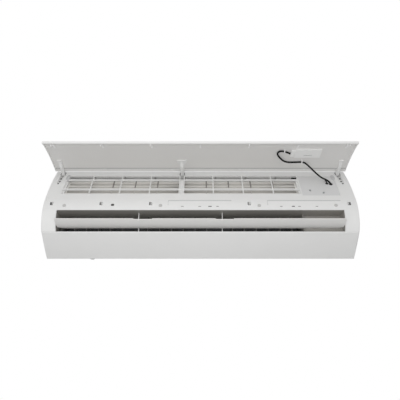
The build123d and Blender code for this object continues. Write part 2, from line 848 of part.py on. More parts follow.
def drain_pan():
    """Trough under the front of the coil, lying on the air duct's roof."""
    lift = duct_wall * 1.05 + fit_gap + 1.1
    points = [(33, coil_foot[1] - 2), (33, ceiling(33) + lift), (75.5, ceiling(75.5) + lift),
              (75.5, 150)]
    pan = along(sheet(points, 2.0), grille_left, grille_right)
    rest = coil_banks[0][0]
    low = ceiling(42) + lift
    saddle = polygon((42, low), (66, ceiling(66) + lift), (rest[3][0], rest[3][1] - fit_gap),
                     (rest[0][0], rest[0][1] - fit_gap))
    for share in (0.01, 0.25, 0.5, 0.75, 0.99):
        x = coil_left + share * (coil_right - coil_left)
        pan += along(saddle, x - 1.5, x + 1.5)
    return pan


def outlet_duct():
    """Roof and ends of the air duct, and the closed recess right of it."""
    roof_end = tongue_depth
    top = duct_wall * 1.04
    roof = polygon(ceiling_start, (roof_end, ceiling(roof_end)), (roof_end, ceiling(roof_end) + top),
                   (ceiling_start[0] + 0.8, ceiling_start[1] + top))
    body = along(roof, -outlet_half - duct_wall, duct_right)
    recess_depth = vane_front + 10
    short_roof = polygon(ceiling_start, (recess_depth, ceiling(recess_depth)),
                         (recess_depth, ceiling(recess_depth) + top),
                         (ceiling_start[0] + 0.8, ceiling_start[1] + top))
    body += along(short_roof, duct_right - 1, outlet_half + duct_wall)
    end_front = 5.0
    for start, depth in ((-outlet_half - duct_wall, 66), (outlet_half, recess_depth)):
        low_front = floor_start[0] + 2
        cheek = polygon((end_front, ceiling(end_front) + 0.5), (depth, ceiling(depth) + 0.5),
                        (depth, floor(depth) + fit_gap), (low_front, floor(low_front) + fit_gap),
                        (floor_start[0] - 7, 66), (end_front + 2.5, 84))
        body += along(cheek, start, start + duct_wall)
        body -= rod(start - 1, start + duct_wall + 1, louver_pivot_depth, louver_pivot_height,
                    louver_pin_radius + pin_gap)
    for front, rear, start, end in (
            (recess_depth - duct_wall, recess_depth, duct_right, outlet_half + 1),
            (support_depth, tongue_depth, duct_right - duct_wall, duct_right)):
        wall = polygon((front, floor(front) + fit_gap), (rear, floor(rear) + fit_gap),
                       (rear, ceiling(rear) + 0.5), (front, ceiling(front) + 0.5))
        body += along(wall, start, end)
    for x in vane_places:
        body -= post(x, vane_pivot_depth, ceiling(vane_pivot_depth) - 3,
                     ceiling(vane_pivot_depth) + 6, vane_pin_radius + pin_gap)
    return body


def rear_chassis():
    """Back wall, underside and fan scroll in one moulding, with the plates beside the fan."""
    left, right = inner_left + 0.5, inner_right - 0.5
    wall = frame_wall
    back = block((left, right), (casing_back - wall, casing_back),
                 (tail_height + 2.0, body_height - deck_wall - 1))
    start = chin_end_depth + 8 + fit_gap
    under = polygon((start, tail(start)), (casing_back, tail_height), (casing_back, tail_height + 3.2),
                    (start, tail(start) + 3.2))
    body = back + along(under, left, right)
    floor_line = Line(yz(*floor_start), yz(*floor_end))
    around = [(fan_depth + scroll_radius * cos(a), fan_height + scroll_radius * sin(a))
              for a in (radians(-30), radians(22))]
    scroll_arc = ThreePointArc(floor_line @ 1, yz(*around[0]), yz(*around[1]))
    outer = scroll_radius + wall
    scroll_out = [(fan_depth + outer * cos(a), fan_height + outer * sin(a))
                  for a in (radians(22), radians(-30), floor_angle - pi / 2)]
    outer_arc = ThreePointArc(*[yz(*p) for p in scroll_out])
    low_start = (floor_start[0] + wall * sin(floor_angle), floor_start[1] - wall * cos(floor_angle))
    scroll = make_face([floor_line, scroll_arc, Line(scroll_arc @ 1, outer_arc @ 0), outer_arc,
                        Line(outer_arc @ 1, yz(*low_start)), Line(yz(*low_start), yz(*floor_start))])
    body += along(scroll, -outlet_half - duct_wall, duct_right + duct_wall)
    recess_end = vane_front + 12
    recess_floor = polygon(floor_start, (recess_end, floor(recess_end)),
                           (recess_end, floor(recess_end) - wall), low_start)
    body += along(recess_floor, duct_right, outlet_half + duct_wall)
    trough = sheet([(154, 183), (154, 177), (casing_back - 1, 177)], 2.0)
    body += along(trough, grille_left, grille_right)
    plate_low = chin_end_depth + 9
    plate = polygon((78, tail(78) + 50), (plate_low, tail(plate_low) + 2),
                    (casing_back - 1, tail_height + 2), (casing_back - 1, 182), (150, 182),
                    (86, 150), (78, 128))
    hole = disc(fan_depth, fan_height, 13.0)
    for x in (-outlet_half - duct_wall, duct_right + 0.2):
        body += along(plate - hole, x, x + duct_wall)
    inside = polygon((channel_front, tail(channel_front) - 4), (casing_back + 1, tail_height - 3),
                     (casing_back + 1, channel_roof), (channel_front, channel_roof))
    shell = polygon((channel_front - wall, tail(channel_front - wall)), (casing_back, tail_height),
                    (casing_back, channel_roof + wall), (channel_front - wall, channel_roof + wall))
    bay_x, bay_depth = spigot_place
    bay = polygon((bay_front, tail(bay_front) - 9), (channel_front + 1, tail(channel_front) - 9),
                  (channel_front + 1, bay_roof), (bay_front, bay_roof))
    bay_shell = polygon((bay_front - wall, tail(bay_front - wall)),
                        (channel_front, tail(channel_front)), (channel_front, bay_roof + wall),
                        (bay_front - wall, bay_roof + wall))
    body += along(shell, left, channel_end + wall)
    body += along(bay_shell, bay_x - bay_half - wall, bay_x + bay_half + wall)
    body -= along(inside, left - 1, channel_end)
    body -= along(bay, bay_x - bay_half, bay_x + bay_half)
    body += block((duct_right + 1, channel_end + wall), (78, channel_front),
                  (channel_roof, channel_roof + wall))
    for x in (-plate_hook_x, plate_hook_x):
        half = plate_hook_width / 2 + 2
        body -= block((x - half, x + half), (casing_back - wall - 1, casing_back + 1),
                      (238.5, 249.3))
    for x in vane_places:
        body -= post(x, vane_pivot_depth, floor(vane_pivot_depth) - 6, floor(vane_pivot_depth) + 3,
                     vane_pin_radius + pin_gap)
    for x, depth, height, radius in pipe_exits:
        body -= post(x, depth, height, height + 60, radius + fit_gap)
    return body - post(bay_x, bay_depth, bay_roof - 5, bay_roof + wall + 1, spigot_hole)


def louver_ear(x, width):
    """Ear on the louver's back, round its pivot, in the shut place."""
    ear = disc(louver_pivot_depth, louver_pivot_height, 4.2)
    inset = louver_inset + louver_thickness - 0.4
    ear += polygon((louver_pivot_depth - 0.5, louver_pivot_height + 4.1), front_point(79, inset),
                   front_point(62, inset), (louver_pivot_depth + 0.5, louver_pivot_height - 4.1))
    return along(ear, x, x + width)


def air_louver():
    """Long curved louver with its pivots, in the place it has in use."""
    blade = along(front_strip(louver_low, louver_high, louver_inset, louver_inset + louver_thickness),
                  -louver_half, louver_half)
    cuts = []
    low = louver_low - plate_centre_height
    for way in (-1, 1):
        corner = make_face(Polyline((way * (louver_half - louver_corner), low - 2),
                                    (way * (louver_half + 2), low + louver_corner * 0.62),
                                    (way * (louver_half + 2), low - 2), close=True))
        cuts.append(extrude(Pos(0, 60 - body_depth, 0) * (Plane.XZ * corner), amount=80))
    notch = front_strip(louver_high - louver_notch_depth, louver_high + 1, louver_inset - 1,
                        louver_inset + louver_thickness + 1)
    for x, (start, end) in zip(support_positions, louver_notches):
        cuts.append(along(notch, x + start, x + end))
    blade = blade.cut(*cuts)
    for x in (-louver_half, louver_half - 3):
        blade += louver_ear(x, 3)
    blade += rod(-louver_half - louver_pin_length, -louver_half + 1, louver_pivot_depth,
                 louver_pivot_height, louver_pin_radius)
    blade += rod(louver_half - 1, louver_half + louver_pin_length, louver_pivot_depth,
                 louver_pivot_height, louver_pin_radius)
    reach = support_wall / 2 + 1.2
    for x in support_positions:
        blade += louver_ear(x - reach - 2.5, 2.5)
        blade += louver_ear(x + reach, 2.5)
        blade += rod(x - reach - 1, x + reach + 1, louver_pivot_depth, louver_pivot_height,
                     louver_pin_radius)
    return about(blade, louver_pivot_depth, louver_pivot_height, louver_swing)


def louver_supports():
    """Thin brackets between the duct's floor and roof that carry the louver's middle pivots."""
    front, back = support_depth, support_depth + support_length
    gap = fit_gap
    post_part = polygon((front, floor(front) + gap), (back, floor(back) + gap),
                        (back, ceiling(back) - gap), (front - 14, ceiling(front - 14) - gap),
                        (front - 10, 92), (front, 80))
    eye = (louver_pivot_depth, louver_pivot_height)
    arm = polygon((eye[0] - 1.6, eye[1] + 2.4), (front - 12, ceiling(front - 12) - 1),
                  (front + 1, ceiling(front) - 6), (front + 1, 84), (eye[0] + 2.4, eye[1] + 1.6))
    profile = post_part + arm + disc(*eye, 2.95) - disc(*eye, louver_pin_radius + pin_gap)
    return bundle(*[along(profile, x - support_wall / 2, x + support_wall / 2)
                    for x in support_positions])


def louver_motor():
    """Small geared motor that turns the louver at its right end."""
    start = outlet_half + duct_wall
    body = rod(start, start + 16, louver_pivot_depth + 13, louver_pivot_height + 4, 12.5)
    body += rod(start, start + 3, louver_pivot_depth, louver_pivot_height, 4.5)
    body += block((start, start + 3), (louver_pivot_depth, louver_pivot_depth + 12),
                  (louver_pivot_height - 4.4, louver_pivot_height + 4.4))
    body -= rod(start - 1, start + louver_pin_length, louver_pivot_depth, louver_pivot_height,
                louver_pin_radius + pin_gap)
    body += block((start, start + 1.2), (louver_pivot_depth + 8, louver_pivot_depth + 18),
                  (louver_pivot_height - 13, louver_pivot_height + 21))
    return body


def vane(x):
    """Upright vane with its pivots above and below and the peg of its link."""
    def low(depth):
        return floor(depth) + vane_clearance

    def high(depth):
        return ceiling(depth) - vane_clearance

    notch_front = crank_depth - link_depth / 2 - 2
    notch_top = low(crank_depth) + link_height + 1.6
    blade = polygon((vane_front, low(vane_front)), (notch_front, low(notch_front)),
                    (notch_front, notch_top), (vane_back, notch_top), (vane_back, high(vane_back) - 2),
                    (vane_back - 8, high(vane_back - 8)), (vane_shoulder, high(vane_shoulder)),
                    (vane_front, vane_front_height))
    body = along(blade, x - vane_wall / 2, x + vane_wall / 2)
    body += post(x, vane_pivot_depth, floor(vane_pivot_depth) - duct_wall,
                 low(vane_pivot_depth) + 3, vane_pin_radius)
    body += post(x, vane_pivot_depth, high(vane_pivot_depth) - 3,
                 ceiling(vane_pivot_depth) + duct_wall - 1, vane_pin_radius)
    body += post(x, crank_depth, notch_top - link_height - 1.2, notch_top + 1, crank_pin_radius)
    return body


def link_bar(first):
    """Bar that ties one bay of vanes together, with a cross slot for each vane's peg."""
    last = first + vane_pitch * (vanes_per_bay - 1)
    top = floor(crank_depth) + vane_clearance + link_height + 1.0
    bar = block((first - 6, last + 6), (crank_depth - link_depth / 2, crank_depth + link_depth / 2),
                (top - link_height, top))
    reach = crank_depth - vane_pivot_depth
    back = crank_depth + crank_pin_radius + 0.35
    front = crank_depth - reach * (1 - cos(radians(vane_swing))) - crank_pin_radius - 0.35
    half = crank_pin_radius + 0.35
    slots = [block((first + vane_pitch * i - half, first + vane_pitch * i + half), (front, back),
                   (top - link_height - 1, top + 1)) for i in range(vanes_per_bay)]
    return bar.cut(*slots)


def vanes():
    """Three bays of vanes, each with its link bar."""
    for number, x in enumerate(vane_places, 1):
        save(f"vane_{number:02d}", vane(x))
    for number, first in enumerate(vane_bays, 1):
        save(f"link_bar_{number}", link_bar(first))


def cross_flow_fan():
    """Drum of long blades between thin discs, with its shaft stubs."""
    centre = (fan_depth, fan_height)
    blades = []
    for index in range(fan_blades):
        angle = 2 * pi * index / fan_blades
        points = []
        for radius, twist in ((fan_core_radius, 0), ((fan_core_radius + fan_radius) / 2, 3.0),
                              (fan_radius - 0.4, 13.0)):
            a = angle + radians(twist)
            points.append(yz(centre[0] + radius * cos(a), centre[1] + radius * sin(a)))
        blades.append(trace(ThreePointArc(*points), blade_wall))
    solid = [along(blade, fan_left + 1, fan_right - 1) for blade in blades]
    pitch = (fan_right - fan_left - fan_disc_wall) / fan_segments
    discs = [rod(fan_left + pitch * i, fan_left + pitch * i + fan_disc_wall, *centre, fan_radius)
             for i in range(fan_segments + 1)]
    stubs = [rod(fan_left - 20, fan_left + 1, *centre, shaft_radius),
             rod(fan_right - 1, fan_right + 34, *centre, shaft_radius)]
    return discs[0].fuse(*discs[1:], *solid, *stubs)


def fan_bearing():
    """Rubber-mounted bearing at the fan's left end."""
    start = fan_left - 20
    body = rod(start, start + 9, fan_depth, fan_height, 13.0)
    return body - rod(start - 1, start + 10, fan_depth, fan_height, shaft_radius + pin_gap)


motor_start = duct_right + duct_wall + motor_gap


def fan_motor():
    """Fan motor right of the fan, on the fan's axis."""
    body = rod(motor_start, motor_start + motor_length, fan_depth, fan_height, motor_radius)
    body = fillet(body.edges().filter_by(GeomType.CIRCLE), 6)
    body += rod(motor_start - 7, motor_start + 1, fan_depth, fan_height, 14)
    end = motor_start + motor_length
    body += rod(end - 1, end + 6, fan_depth, fan_height, 14)
    return body - rod(motor_start - 8, fan_right + 35, fan_depth, fan_height,
                      shaft_radius + pin_gap)


def motor_clamp():
    """Saddle that carries the motor on the chassis."""
    start, end = motor_start + 16, motor_start + motor_length - 16
    centre = (fan_depth, fan_height)
    seat = channel_roof + frame_wall
    saddle = polygon((88, fan_height - 8), (88, seat), (172, seat), (174, fan_height - 8))
    saddle -= disc(*centre, motor_radius + fit_gap)
    return along(saddle, start, end)


def pipe(exit_place, end_x):
    """Copper pipe from inside the casing, down through its underside and along behind it."""
    x, depth, height, radius = exit_place
    points = [(x, *yz(depth, pipe_top)), (x, *yz(depth, height)), (end_x, *yz(depth, height))]
    path = FilletPolyline(*points, radius=pipe_bend * radius / suction_radius)
    ring = Circle(radius) - Circle(radius - 0.8)
    return sweep(Plane(points[0], z_dir=(0, 0, -1)) * ring, path=path)


def flare_nut(exit_place, end_x, across, length, bore):
    """Hexagonal union nut at a pipe's end, its thread's bore open to the left."""
    _, depth, height, radius = exit_place
    hexagon = Pos(*yz(depth, height)) * RegularPolygon(across / 2, 6, major_radius=False,
                                                         rotation=30)
    body = along(hexagon, end_x - length * 0.55, end_x + length * 0.45)
    body -= rod(end_x, end_x + length, depth, height, radius)
    return body - rod(end_x - length, end_x, depth, height, bore)


def pipes():
    """Both pipes with their union nuts."""
    suction, liquid = pipe_exits
    save("suction_pipe", pipe(suction, pipe_ends[0]))
    save("liquid_pipe", pipe(liquid, pipe_ends[1]))
    save("flare_nuts", bundle(flare_nut(suction, pipe_ends[0], 26, 26, 8.7),
                              flare_nut(liquid, pipe_ends[1], 17, 20, 4.9)))


def drain_spigot():
    """Outlet of the drain, hanging down in its bay by a collar on the bay's roof."""
    seat = bay_roof + frame_wall + fit_gap
    collar_radius, thickness = spigot_collar
    body = post(*spigot_place, spigot_low, seat + 0.5, spigot_radius)
    body += post(*spigot_place, seat, seat + thickness, collar_radius)
    return body - post(*spigot_place, spigot_low - 1, seat + thickness + 1, spigot_bore)


def wall_plate():
    """Sheet-steel plate screwed to the wall, with the two hooks that carry the unit."""
    half = plate_width / 2
    middle = plate_centre_height
    low, high = middle - plate_height / 2, middle + plate_height / 2
    rear, face = body_depth, body_depth - plate_wall
    body = block((-half, half), (face, rear), (low, high))
    for x in (-plate_hole_spacing_x / 2, plate_hole_spacing_x / 2):
        for height in (middle - plate_hole_spacing_z / 2, middle + plate_hole_spacing_z / 2):
            y, z = yz(rear, height)
            body -= Pos(x, y, z) * Rot(90, 0, 0) * Cylinder(plate_hole_radius, 20)
    for x in (-half + 200, half - 200):
        body -= block((x - 40, x + 40), (face - 1, rear + 1), (middle - 30, middle + 30))
    for x in (-half + 40, half - 40):
        body -= block((x - 25, x + 25), (face - 1, rear + 1), (middle - 40, middle + 40))
    for height in (low, high - 1.2):
        body += block((-half, half), (face - 3.0, face), (height, height + 1.2))
    for x in (-plate_hook_x, plate_hook_x):
        reach = (x - plate_hook_width / 2, x + plate_hook_width / 2)
        tab = block(reach, (casing_back - frame_wall - 2.0, face + 0.5), (247, 249))
        tab += block(reach, (casing_back - frame_wall - 2.0, casing_back - frame_wall - 0.5), (247, 256))
        body += tab
    return body


def screws():
    """Cross-head screws of the cover and of the electric box."""
    pieces = []
    for x, height in cover_screws:
        screw = stud(x, height, 3.2, 0.6, 1.0) + stud(x, height, 1.5, -0.5, 12)
        for wide, tall in ((0.45, 1.9), (1.9, 0.45)):
            screw -= along(front_strip(height - tall, height + tall, -1.0, 0.2), x - wide, x + wide)
        pieces.append(screw)
    return bundle(*pieces)


def screw_caps():
    """Round caps over the casing's screws."""
    return bundle(*[stud(x, height, 5.0, 0.3, 1.2) for x, height in cap_places])


def temperature_sensor():
    """Room air sensor clipped at the grille opening's corner."""
    return rod(grille_right - 15, grille_right, *front_point(258, 4.5), 2.2)


vane_places = [bay + vane_pitch * index for bay in vane_bays for index in range(vanes_per_bay)]

os.makedirs("parts", exist_ok=True)
if __name__ == "__main__":
    save("front_frame", front_frame())
    save("guard_bars", guard_bars())
    save("front_panel", front_panel())
    save("panel_arms", panel_arms())
    save("hinge_pins", hinge_pins())
    display_pieces()
    save("control_cover", control_cover())
    save("control_box", control_box())
    save("control_board", control_board())
    save("top_grille", top_grille())
    filters()
    coil()
    save("drain_pan", drain_pan())
    save("outlet_duct", outlet_duct())
    save("rear_chassis", rear_chassis())
    save("air_louver", air_louver())
    save("louver_supports", louver_supports())
    save("louver_motor", louver_motor())
    vanes()
    save("cross_flow_fan", cross_flow_fan())
    save("fan_bearing", fan_bearing())
    save("fan_motor", fan_motor())
    save("motor_clamp", motor_clamp())
    pipes()
    save("drain_spigot", drain_spigot())
    save("wall_plate", wall_plate())
    save("screws", screws())
    save("screw_caps", screw_caps())
    save("temperature_sensor", temperature_sensor())
    leads()
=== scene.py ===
import math

import bmesh
import bpy
import numpy as np
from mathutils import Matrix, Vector

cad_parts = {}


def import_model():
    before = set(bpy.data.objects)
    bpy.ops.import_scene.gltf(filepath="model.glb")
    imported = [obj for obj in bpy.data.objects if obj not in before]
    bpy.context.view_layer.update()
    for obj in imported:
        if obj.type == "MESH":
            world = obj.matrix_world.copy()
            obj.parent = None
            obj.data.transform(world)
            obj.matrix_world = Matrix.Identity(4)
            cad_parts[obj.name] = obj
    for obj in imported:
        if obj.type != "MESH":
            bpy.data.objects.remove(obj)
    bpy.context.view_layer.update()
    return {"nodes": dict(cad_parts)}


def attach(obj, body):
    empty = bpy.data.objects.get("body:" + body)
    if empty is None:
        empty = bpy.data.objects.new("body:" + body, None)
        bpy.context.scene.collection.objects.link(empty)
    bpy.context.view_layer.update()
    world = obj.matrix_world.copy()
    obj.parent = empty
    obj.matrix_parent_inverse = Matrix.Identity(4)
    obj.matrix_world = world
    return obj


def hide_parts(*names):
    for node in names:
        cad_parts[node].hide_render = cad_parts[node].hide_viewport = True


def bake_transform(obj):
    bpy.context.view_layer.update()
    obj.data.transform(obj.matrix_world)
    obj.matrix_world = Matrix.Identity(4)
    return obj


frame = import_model()
nodes = frame["nodes"]
print("frame loaded:", len(nodes), "nodes")

# The side section of the casing, in metres: depth behind the front, height above the foot.
section = {
    "bodyDepth": 0.205, "plateHeight": 0.172, "noseHeight": 0.1064, "noseRadius": 0.111,
    "browRadius": 0.640, "browLean": math.radians(23), "lipDepth": 0.0183, "lipHeight": 0.0501,
    "panelInner": -0.0056, "pivotDepth": 0.084, "pivotHeight": 0.277,
    "panelSwing": math.radians(62.2),  # from shut to open
}


def toFrame(depth, height):
    # a place of the side section in the frame's Y and Z
    return np.stack([np.asarray(depth) - section["bodyDepth"],
                     np.asarray(height) - section["plateHeight"]], -1)


def browCircle():
    # depth and height of the middle of the brow's arc, which goes on from the nose's at browLean
    lean, radius = section["browLean"], section["browRadius"]
    depth = section["noseRadius"] * (1 - math.cos(lean)) + radius * math.cos(lean)
    height = section["noseHeight"] + (section["noseRadius"] - radius) * math.sin(lean)
    return depth, height


def frontPoint(height, inset=0.0):
    # each height falls on one of three arcs: cheek, nose or brow; inset moves square to the arc
    height = np.asarray(height, float)
    nose, radius = section["noseHeight"], section["noseRadius"]
    browDepth, browMiddle = browCircle()
    drop = nose - section["lipHeight"]
    cheek = (section["lipDepth"] ** 2 + drop ** 2) / (2 * section["lipDepth"])
    onBrow = height >= nose + radius * math.sin(section["browLean"])
    size = np.where(onBrow, section["browRadius"], np.where(height < nose, cheek, radius))
    depth = np.where(onBrow, browDepth, size)
    middle = np.where(onBrow, browMiddle, nose)
    angle = np.arcsin(np.clip((height - middle) / size, -1, 1))
    return depth - (size - inset) * np.cos(angle), middle + (size - inset) * np.sin(angle)


def swingOpen(points):
    # turn of the shut panel about its hinge axis to the place where it stands open
    pivot = np.append(0.0, toFrame(section["pivotDepth"], section["pivotHeight"]))
    turn = -section["panelSwing"]
    offset = points - pivot
    y = offset[..., 1] * math.cos(turn) - offset[..., 2] * math.sin(turn)
    z = offset[..., 1] * math.sin(turn) + offset[..., 2] * math.cos(turn)
    return np.stack([offset[..., 0], y, z], -1) + pivot


def makeMesh(name, corners, faces, smooth=True):
    mesh = bpy.data.meshes.new(name)
    mesh.from_pydata(corners.reshape(-1, 3).tolist(), [], [tuple(int(i) for i in f) for f in faces])
    mesh.update()
    mesh.polygons.foreach_set("use_smooth", np.full(len(mesh.polygons), smooth))
    obj = bpy.data.objects.new(name, mesh)
    bpy.context.collection.objects.link(obj)
    return obj


def gridFaces(rows, columns, wrapRows=False):
    # quads between rows that are closed rings of columns; the last row meets the first where asked
    row, column = np.meshgrid(np.arange(rows if wrapRows else rows - 1), np.arange(columns), indexing="ij")
    nextRow, nextColumn = (row + 1) % rows, (column + 1) % columns
    quads = np.stack([row * columns + column, row * columns + nextColumn,
                      nextRow * columns + nextColumn, nextRow * columns + column], -1)
    return quads.reshape(-1, 4)


def newGroup(name, inputs, outputs):
    group = bpy.data.node_groups.new(name, "ShaderNodeTree")
    for label, kind, value in inputs:
        socket = group.interface.new_socket(label, in_out="INPUT", socket_type=kind)
        socket.default_value = value
    for label, kind in outputs:
        group.interface.new_socket(label, in_out="OUTPUT", socket_type=kind)
    return group, group.nodes.new("NodeGroupInput"), group.nodes.new("NodeGroupOutput")


def addNode(tree, kind, values=None, links=None):
    node = tree.nodes.new(kind)
    for key, value in (values or {}).items():
        if isinstance(key, str) and hasattr(node, key):
            setattr(node, key, value)
        else:
            node.inputs[key].default_value = value
    for key, socket in (links or {}).items():
        tree.links.new(socket, node.inputs[key])
    return node


def mouldedGroup():
    # fine orange-peel height and slow shade drift of injection-moulded plastic
    group, inside, out = newGroup("MouldedSkin", [("Scale", "NodeSocketFloat", 900.0),
                                                  ("Drift", "NodeSocketFloat", 0.03)],
                                  [("Height", "NodeSocketFloat"), ("Shade", "NodeSocketFloat"),
                                   ("Roughness", "NodeSocketFloat")])
    place = addNode(group, "ShaderNodeTexCoord").outputs["Object"]
    grain = addNode(group, "ShaderNodeTexNoise", {"Detail": 3.0, "Roughness": 0.55},
                    {"Vector": place, "Scale": inside.outputs["Scale"]})
    slow = addNode(group, "ShaderNodeTexNoise", {"Scale": 9.0, "Detail": 4.0, "Roughness": 0.6},
                   {"Vector": place})
    centred = addNode(group, "ShaderNodeMath", {"operation": "SUBTRACT", 1: 0.5},
                      {0: slow.outputs["Fac"]})
    scaled = addNode(group, "ShaderNodeMath", {"operation": "MULTIPLY"},
                     {0: centred.outputs[0], 1: inside.outputs["Drift"]})
    shade = addNode(group, "ShaderNodeMath", {"operation": "ADD", 1: 1.0}, {0: scaled.outputs[0]})
    rough = addNode(group, "ShaderNodeMapRange", {"To Min": 0.36, "To Max": 0.50},
                    {"Value": slow.outputs["Fac"]})
    group.links.new(grain.outputs["Fac"], out.inputs["Height"])
    group.links.new(shade.outputs[0], out.inputs["Shade"])
    group.links.new(rough.outputs[0], out.inputs["Roughness"])
    return group


def dustGroup():
    # settled dust: grows where the surface faces up, broken by noise
    group, inside, out = newGroup("SettledDust", [("Amount", "NodeSocketFloat", 0.2)],
                                  [("Mask", "NodeSocketFloat")])
    place = addNode(group, "ShaderNodeTexCoord").outputs["Object"]
    facing = addNode(group, "ShaderNodeNewGeometry")
    up = addNode(group, "ShaderNodeSeparateXYZ", links={0: facing.outputs["Normal"]})
    spots = addNode(group, "ShaderNodeTexNoise", {"Scale": 60.0, "Detail": 6.0, "Roughness": 0.7},
                    {"Vector": place})
    ramp = addNode(group, "ShaderNodeMapRange", {"From Min": 0.35, "From Max": 0.75},
                   {"Value": spots.outputs["Fac"]})
    lit = addNode(group, "ShaderNodeMath", {"operation": "MULTIPLY", "use_clamp": True},
                  {0: up.outputs["Z"], 1: ramp.outputs[0]})
    mask = addNode(group, "ShaderNodeMath", {"operation": "MULTIPLY", "use_clamp": True},
                   {0: lit.outputs[0], 1: inside.outputs["Amount"]})
    group.links.new(mask.outputs[0], out.inputs["Mask"])
    return group


moulded = mouldedGroup()
dust = dustGroup()


def useGroup(tree, group, values=None):
    node = tree.nodes.new("ShaderNodeGroup")
    node.node_tree = group
    for key, value in (values or {}).items():
        node.inputs[key].default_value = value
    return node


def shaded(tree, colour, shade):
    # colour times a grey shade
    mix = addNode(tree, "ShaderNodeMix", {"data_type": "RGBA", "blend_type": "MULTIPLY"})
    mix.inputs["Factor"].default_value = 1.0
    mix.inputs["A"].default_value = (*colour, 1.0)
    grey = addNode(tree, "ShaderNodeCombineColor")
    for channel in range(3):
        tree.links.new(shade, grey.inputs[channel])
    tree.links.new(grey.outputs[0], mix.inputs["B"])
    return mix.outputs["Result"]


def overlaid(tree, colour, tone, mask):
    # a plain tone laid over a colour where the mask is 1
    mix = addNode(tree, "ShaderNodeMix", {"data_type": "RGBA"})
    mix.inputs["B"].default_value = (*tone, 1.0)
    tree.links.new(mask, mix.inputs["Factor"])
    tree.links.new(colour, mix.inputs["A"])
    return mix.outputs["Result"]


def relief(tree, surface, height, strength, distance):
    # fine height turned into a normal on the surface
    bump = addNode(tree, "ShaderNodeBump", {"Strength": strength, "Distance": distance},
                   {"Height": height})
    tree.links.new(bump.outputs[0], surface.inputs["Normal"])


def mouldedFinish(tree, surface, skin, colour, strength=0.05):
    # colour, roughness and orange-peel relief of a moulded piece
    tree.links.new(colour, surface.inputs["Base Color"])
    tree.links.new(skin.outputs["Roughness"], surface.inputs["Roughness"])
    relief(tree, surface, skin.outputs["Height"], strength, distance=0.0004)


def newMaterial(name):
    material = bpy.data.materials.new(name)
    material.use_nodes = True
    tree = material.node_tree
    return material, tree, tree.nodes["Principled BSDF"]


def srgb(*levels):
    # linear colour of 0 to 255 display levels
    parts = np.array(levels) / 255
    return tuple(np.where(parts <= 0.04045, parts / 12.92, ((parts + 0.055) / 1.055) ** 2.4).tolist())


def plastic(*levels, scale=800.0, drift=0.04, bump=0.05, dust=0.0):
    # a moulded plastic: display levels, scale of its grain, drift of its shade, relief and dust
    return {"colour": srgb(*levels), "scale": scale, "drift": drift, "bump": bump, "dust": dust}


dustColour = srgb(150, 145, 135)
plastics = {
    "casingWhite": plastic(241, 241, 240, scale=900.0, drift=0.05),
    "louverWhite": plastic(236, 235, 233, scale=900.0),
    "capWhite": plastic(205, 204, 202, scale=900.0),
    # the duct, chassis and vanes are light plastic drawn darker: painted shade of the deep inside, under
    # real dust
    "ductShadeGrey": plastic(176, 173, 168, scale=700.0, drift=0.06, bump=0.07, dust=0.25),
    "chassisShadeGrey": plastic(168, 167, 164, scale=700.0, drift=0.06, bump=0.07, dust=0.25),
    "vaneShadeGrey": plastic(108, 107, 106, dust=0.1),
    "filterGrip": plastic(240, 240, 238),
    "coverGrey": plastic(226, 226, 226, scale=900.0, drift=0.05, bump=0.06),
    # the display case, plug and clips are drawn whiter than the panel: painted highlight
    "caseHighlightWhite": plastic(250, 250, 249, scale=900.0),
    # grey for the painted shade in the catch pockets
    "seamShadeGrey": plastic(112, 111, 110, drift=0.06, bump=0.08),
    # grey for the painted shade along the pads' edges
    "rimWhite": plastic(198, 198, 198),
    # the catch tabs are drawn whiter than the panel: painted highlight
    "tabHighlightWhite": plastic(254, 254, 254, drift=0.02, bump=0.03),
    "bossGrey": plastic(204, 204, 205, drift=0.10, bump=0.08),
    # near-black for strips and blocks of painted shade
    "paintedShadeGrey": plastic(70, 70, 71, drift=0.10, bump=0.08),
    "fanGrey": plastic(60, 60, 63, scale=700.0, drift=0.10, bump=0.08, dust=0.35),
}


def plasticMaterial(name):
    look = plastics[name]
    material, tree, surface = newMaterial(name)
    skin = useGroup(tree, moulded, {"Scale": look["scale"], "Drift": look["drift"]})
    colour = shaded(tree, look["colour"], skin.outputs["Shade"])
    if look["dust"]:
        cover = useGroup(tree, dust, {"Amount": look["dust"]})
        colour = overlaid(tree, colour, dustColour, cover.outputs["Mask"])
    mouldedFinish(tree, surface, skin, colour, look["bump"])
    surface.inputs["Specular IOR Level"].default_value = 0.45
    return material


panelLook = {
    # the lighter colour of what stands up is a painted highlight, and the dark line along the rib is
    # painted shade
    "colour": srgb(236, 235, 233), "raisedHighlight": srgb(240, 240, 239), "line": srgb(66, 66, 66),
    "ribHeight": 0.2618, "shadeLineWidth": 0.0034, "faceRadius": 0.6456, "step": 0.0006,
    "scale": 900.0, "drift": 0.04,
}


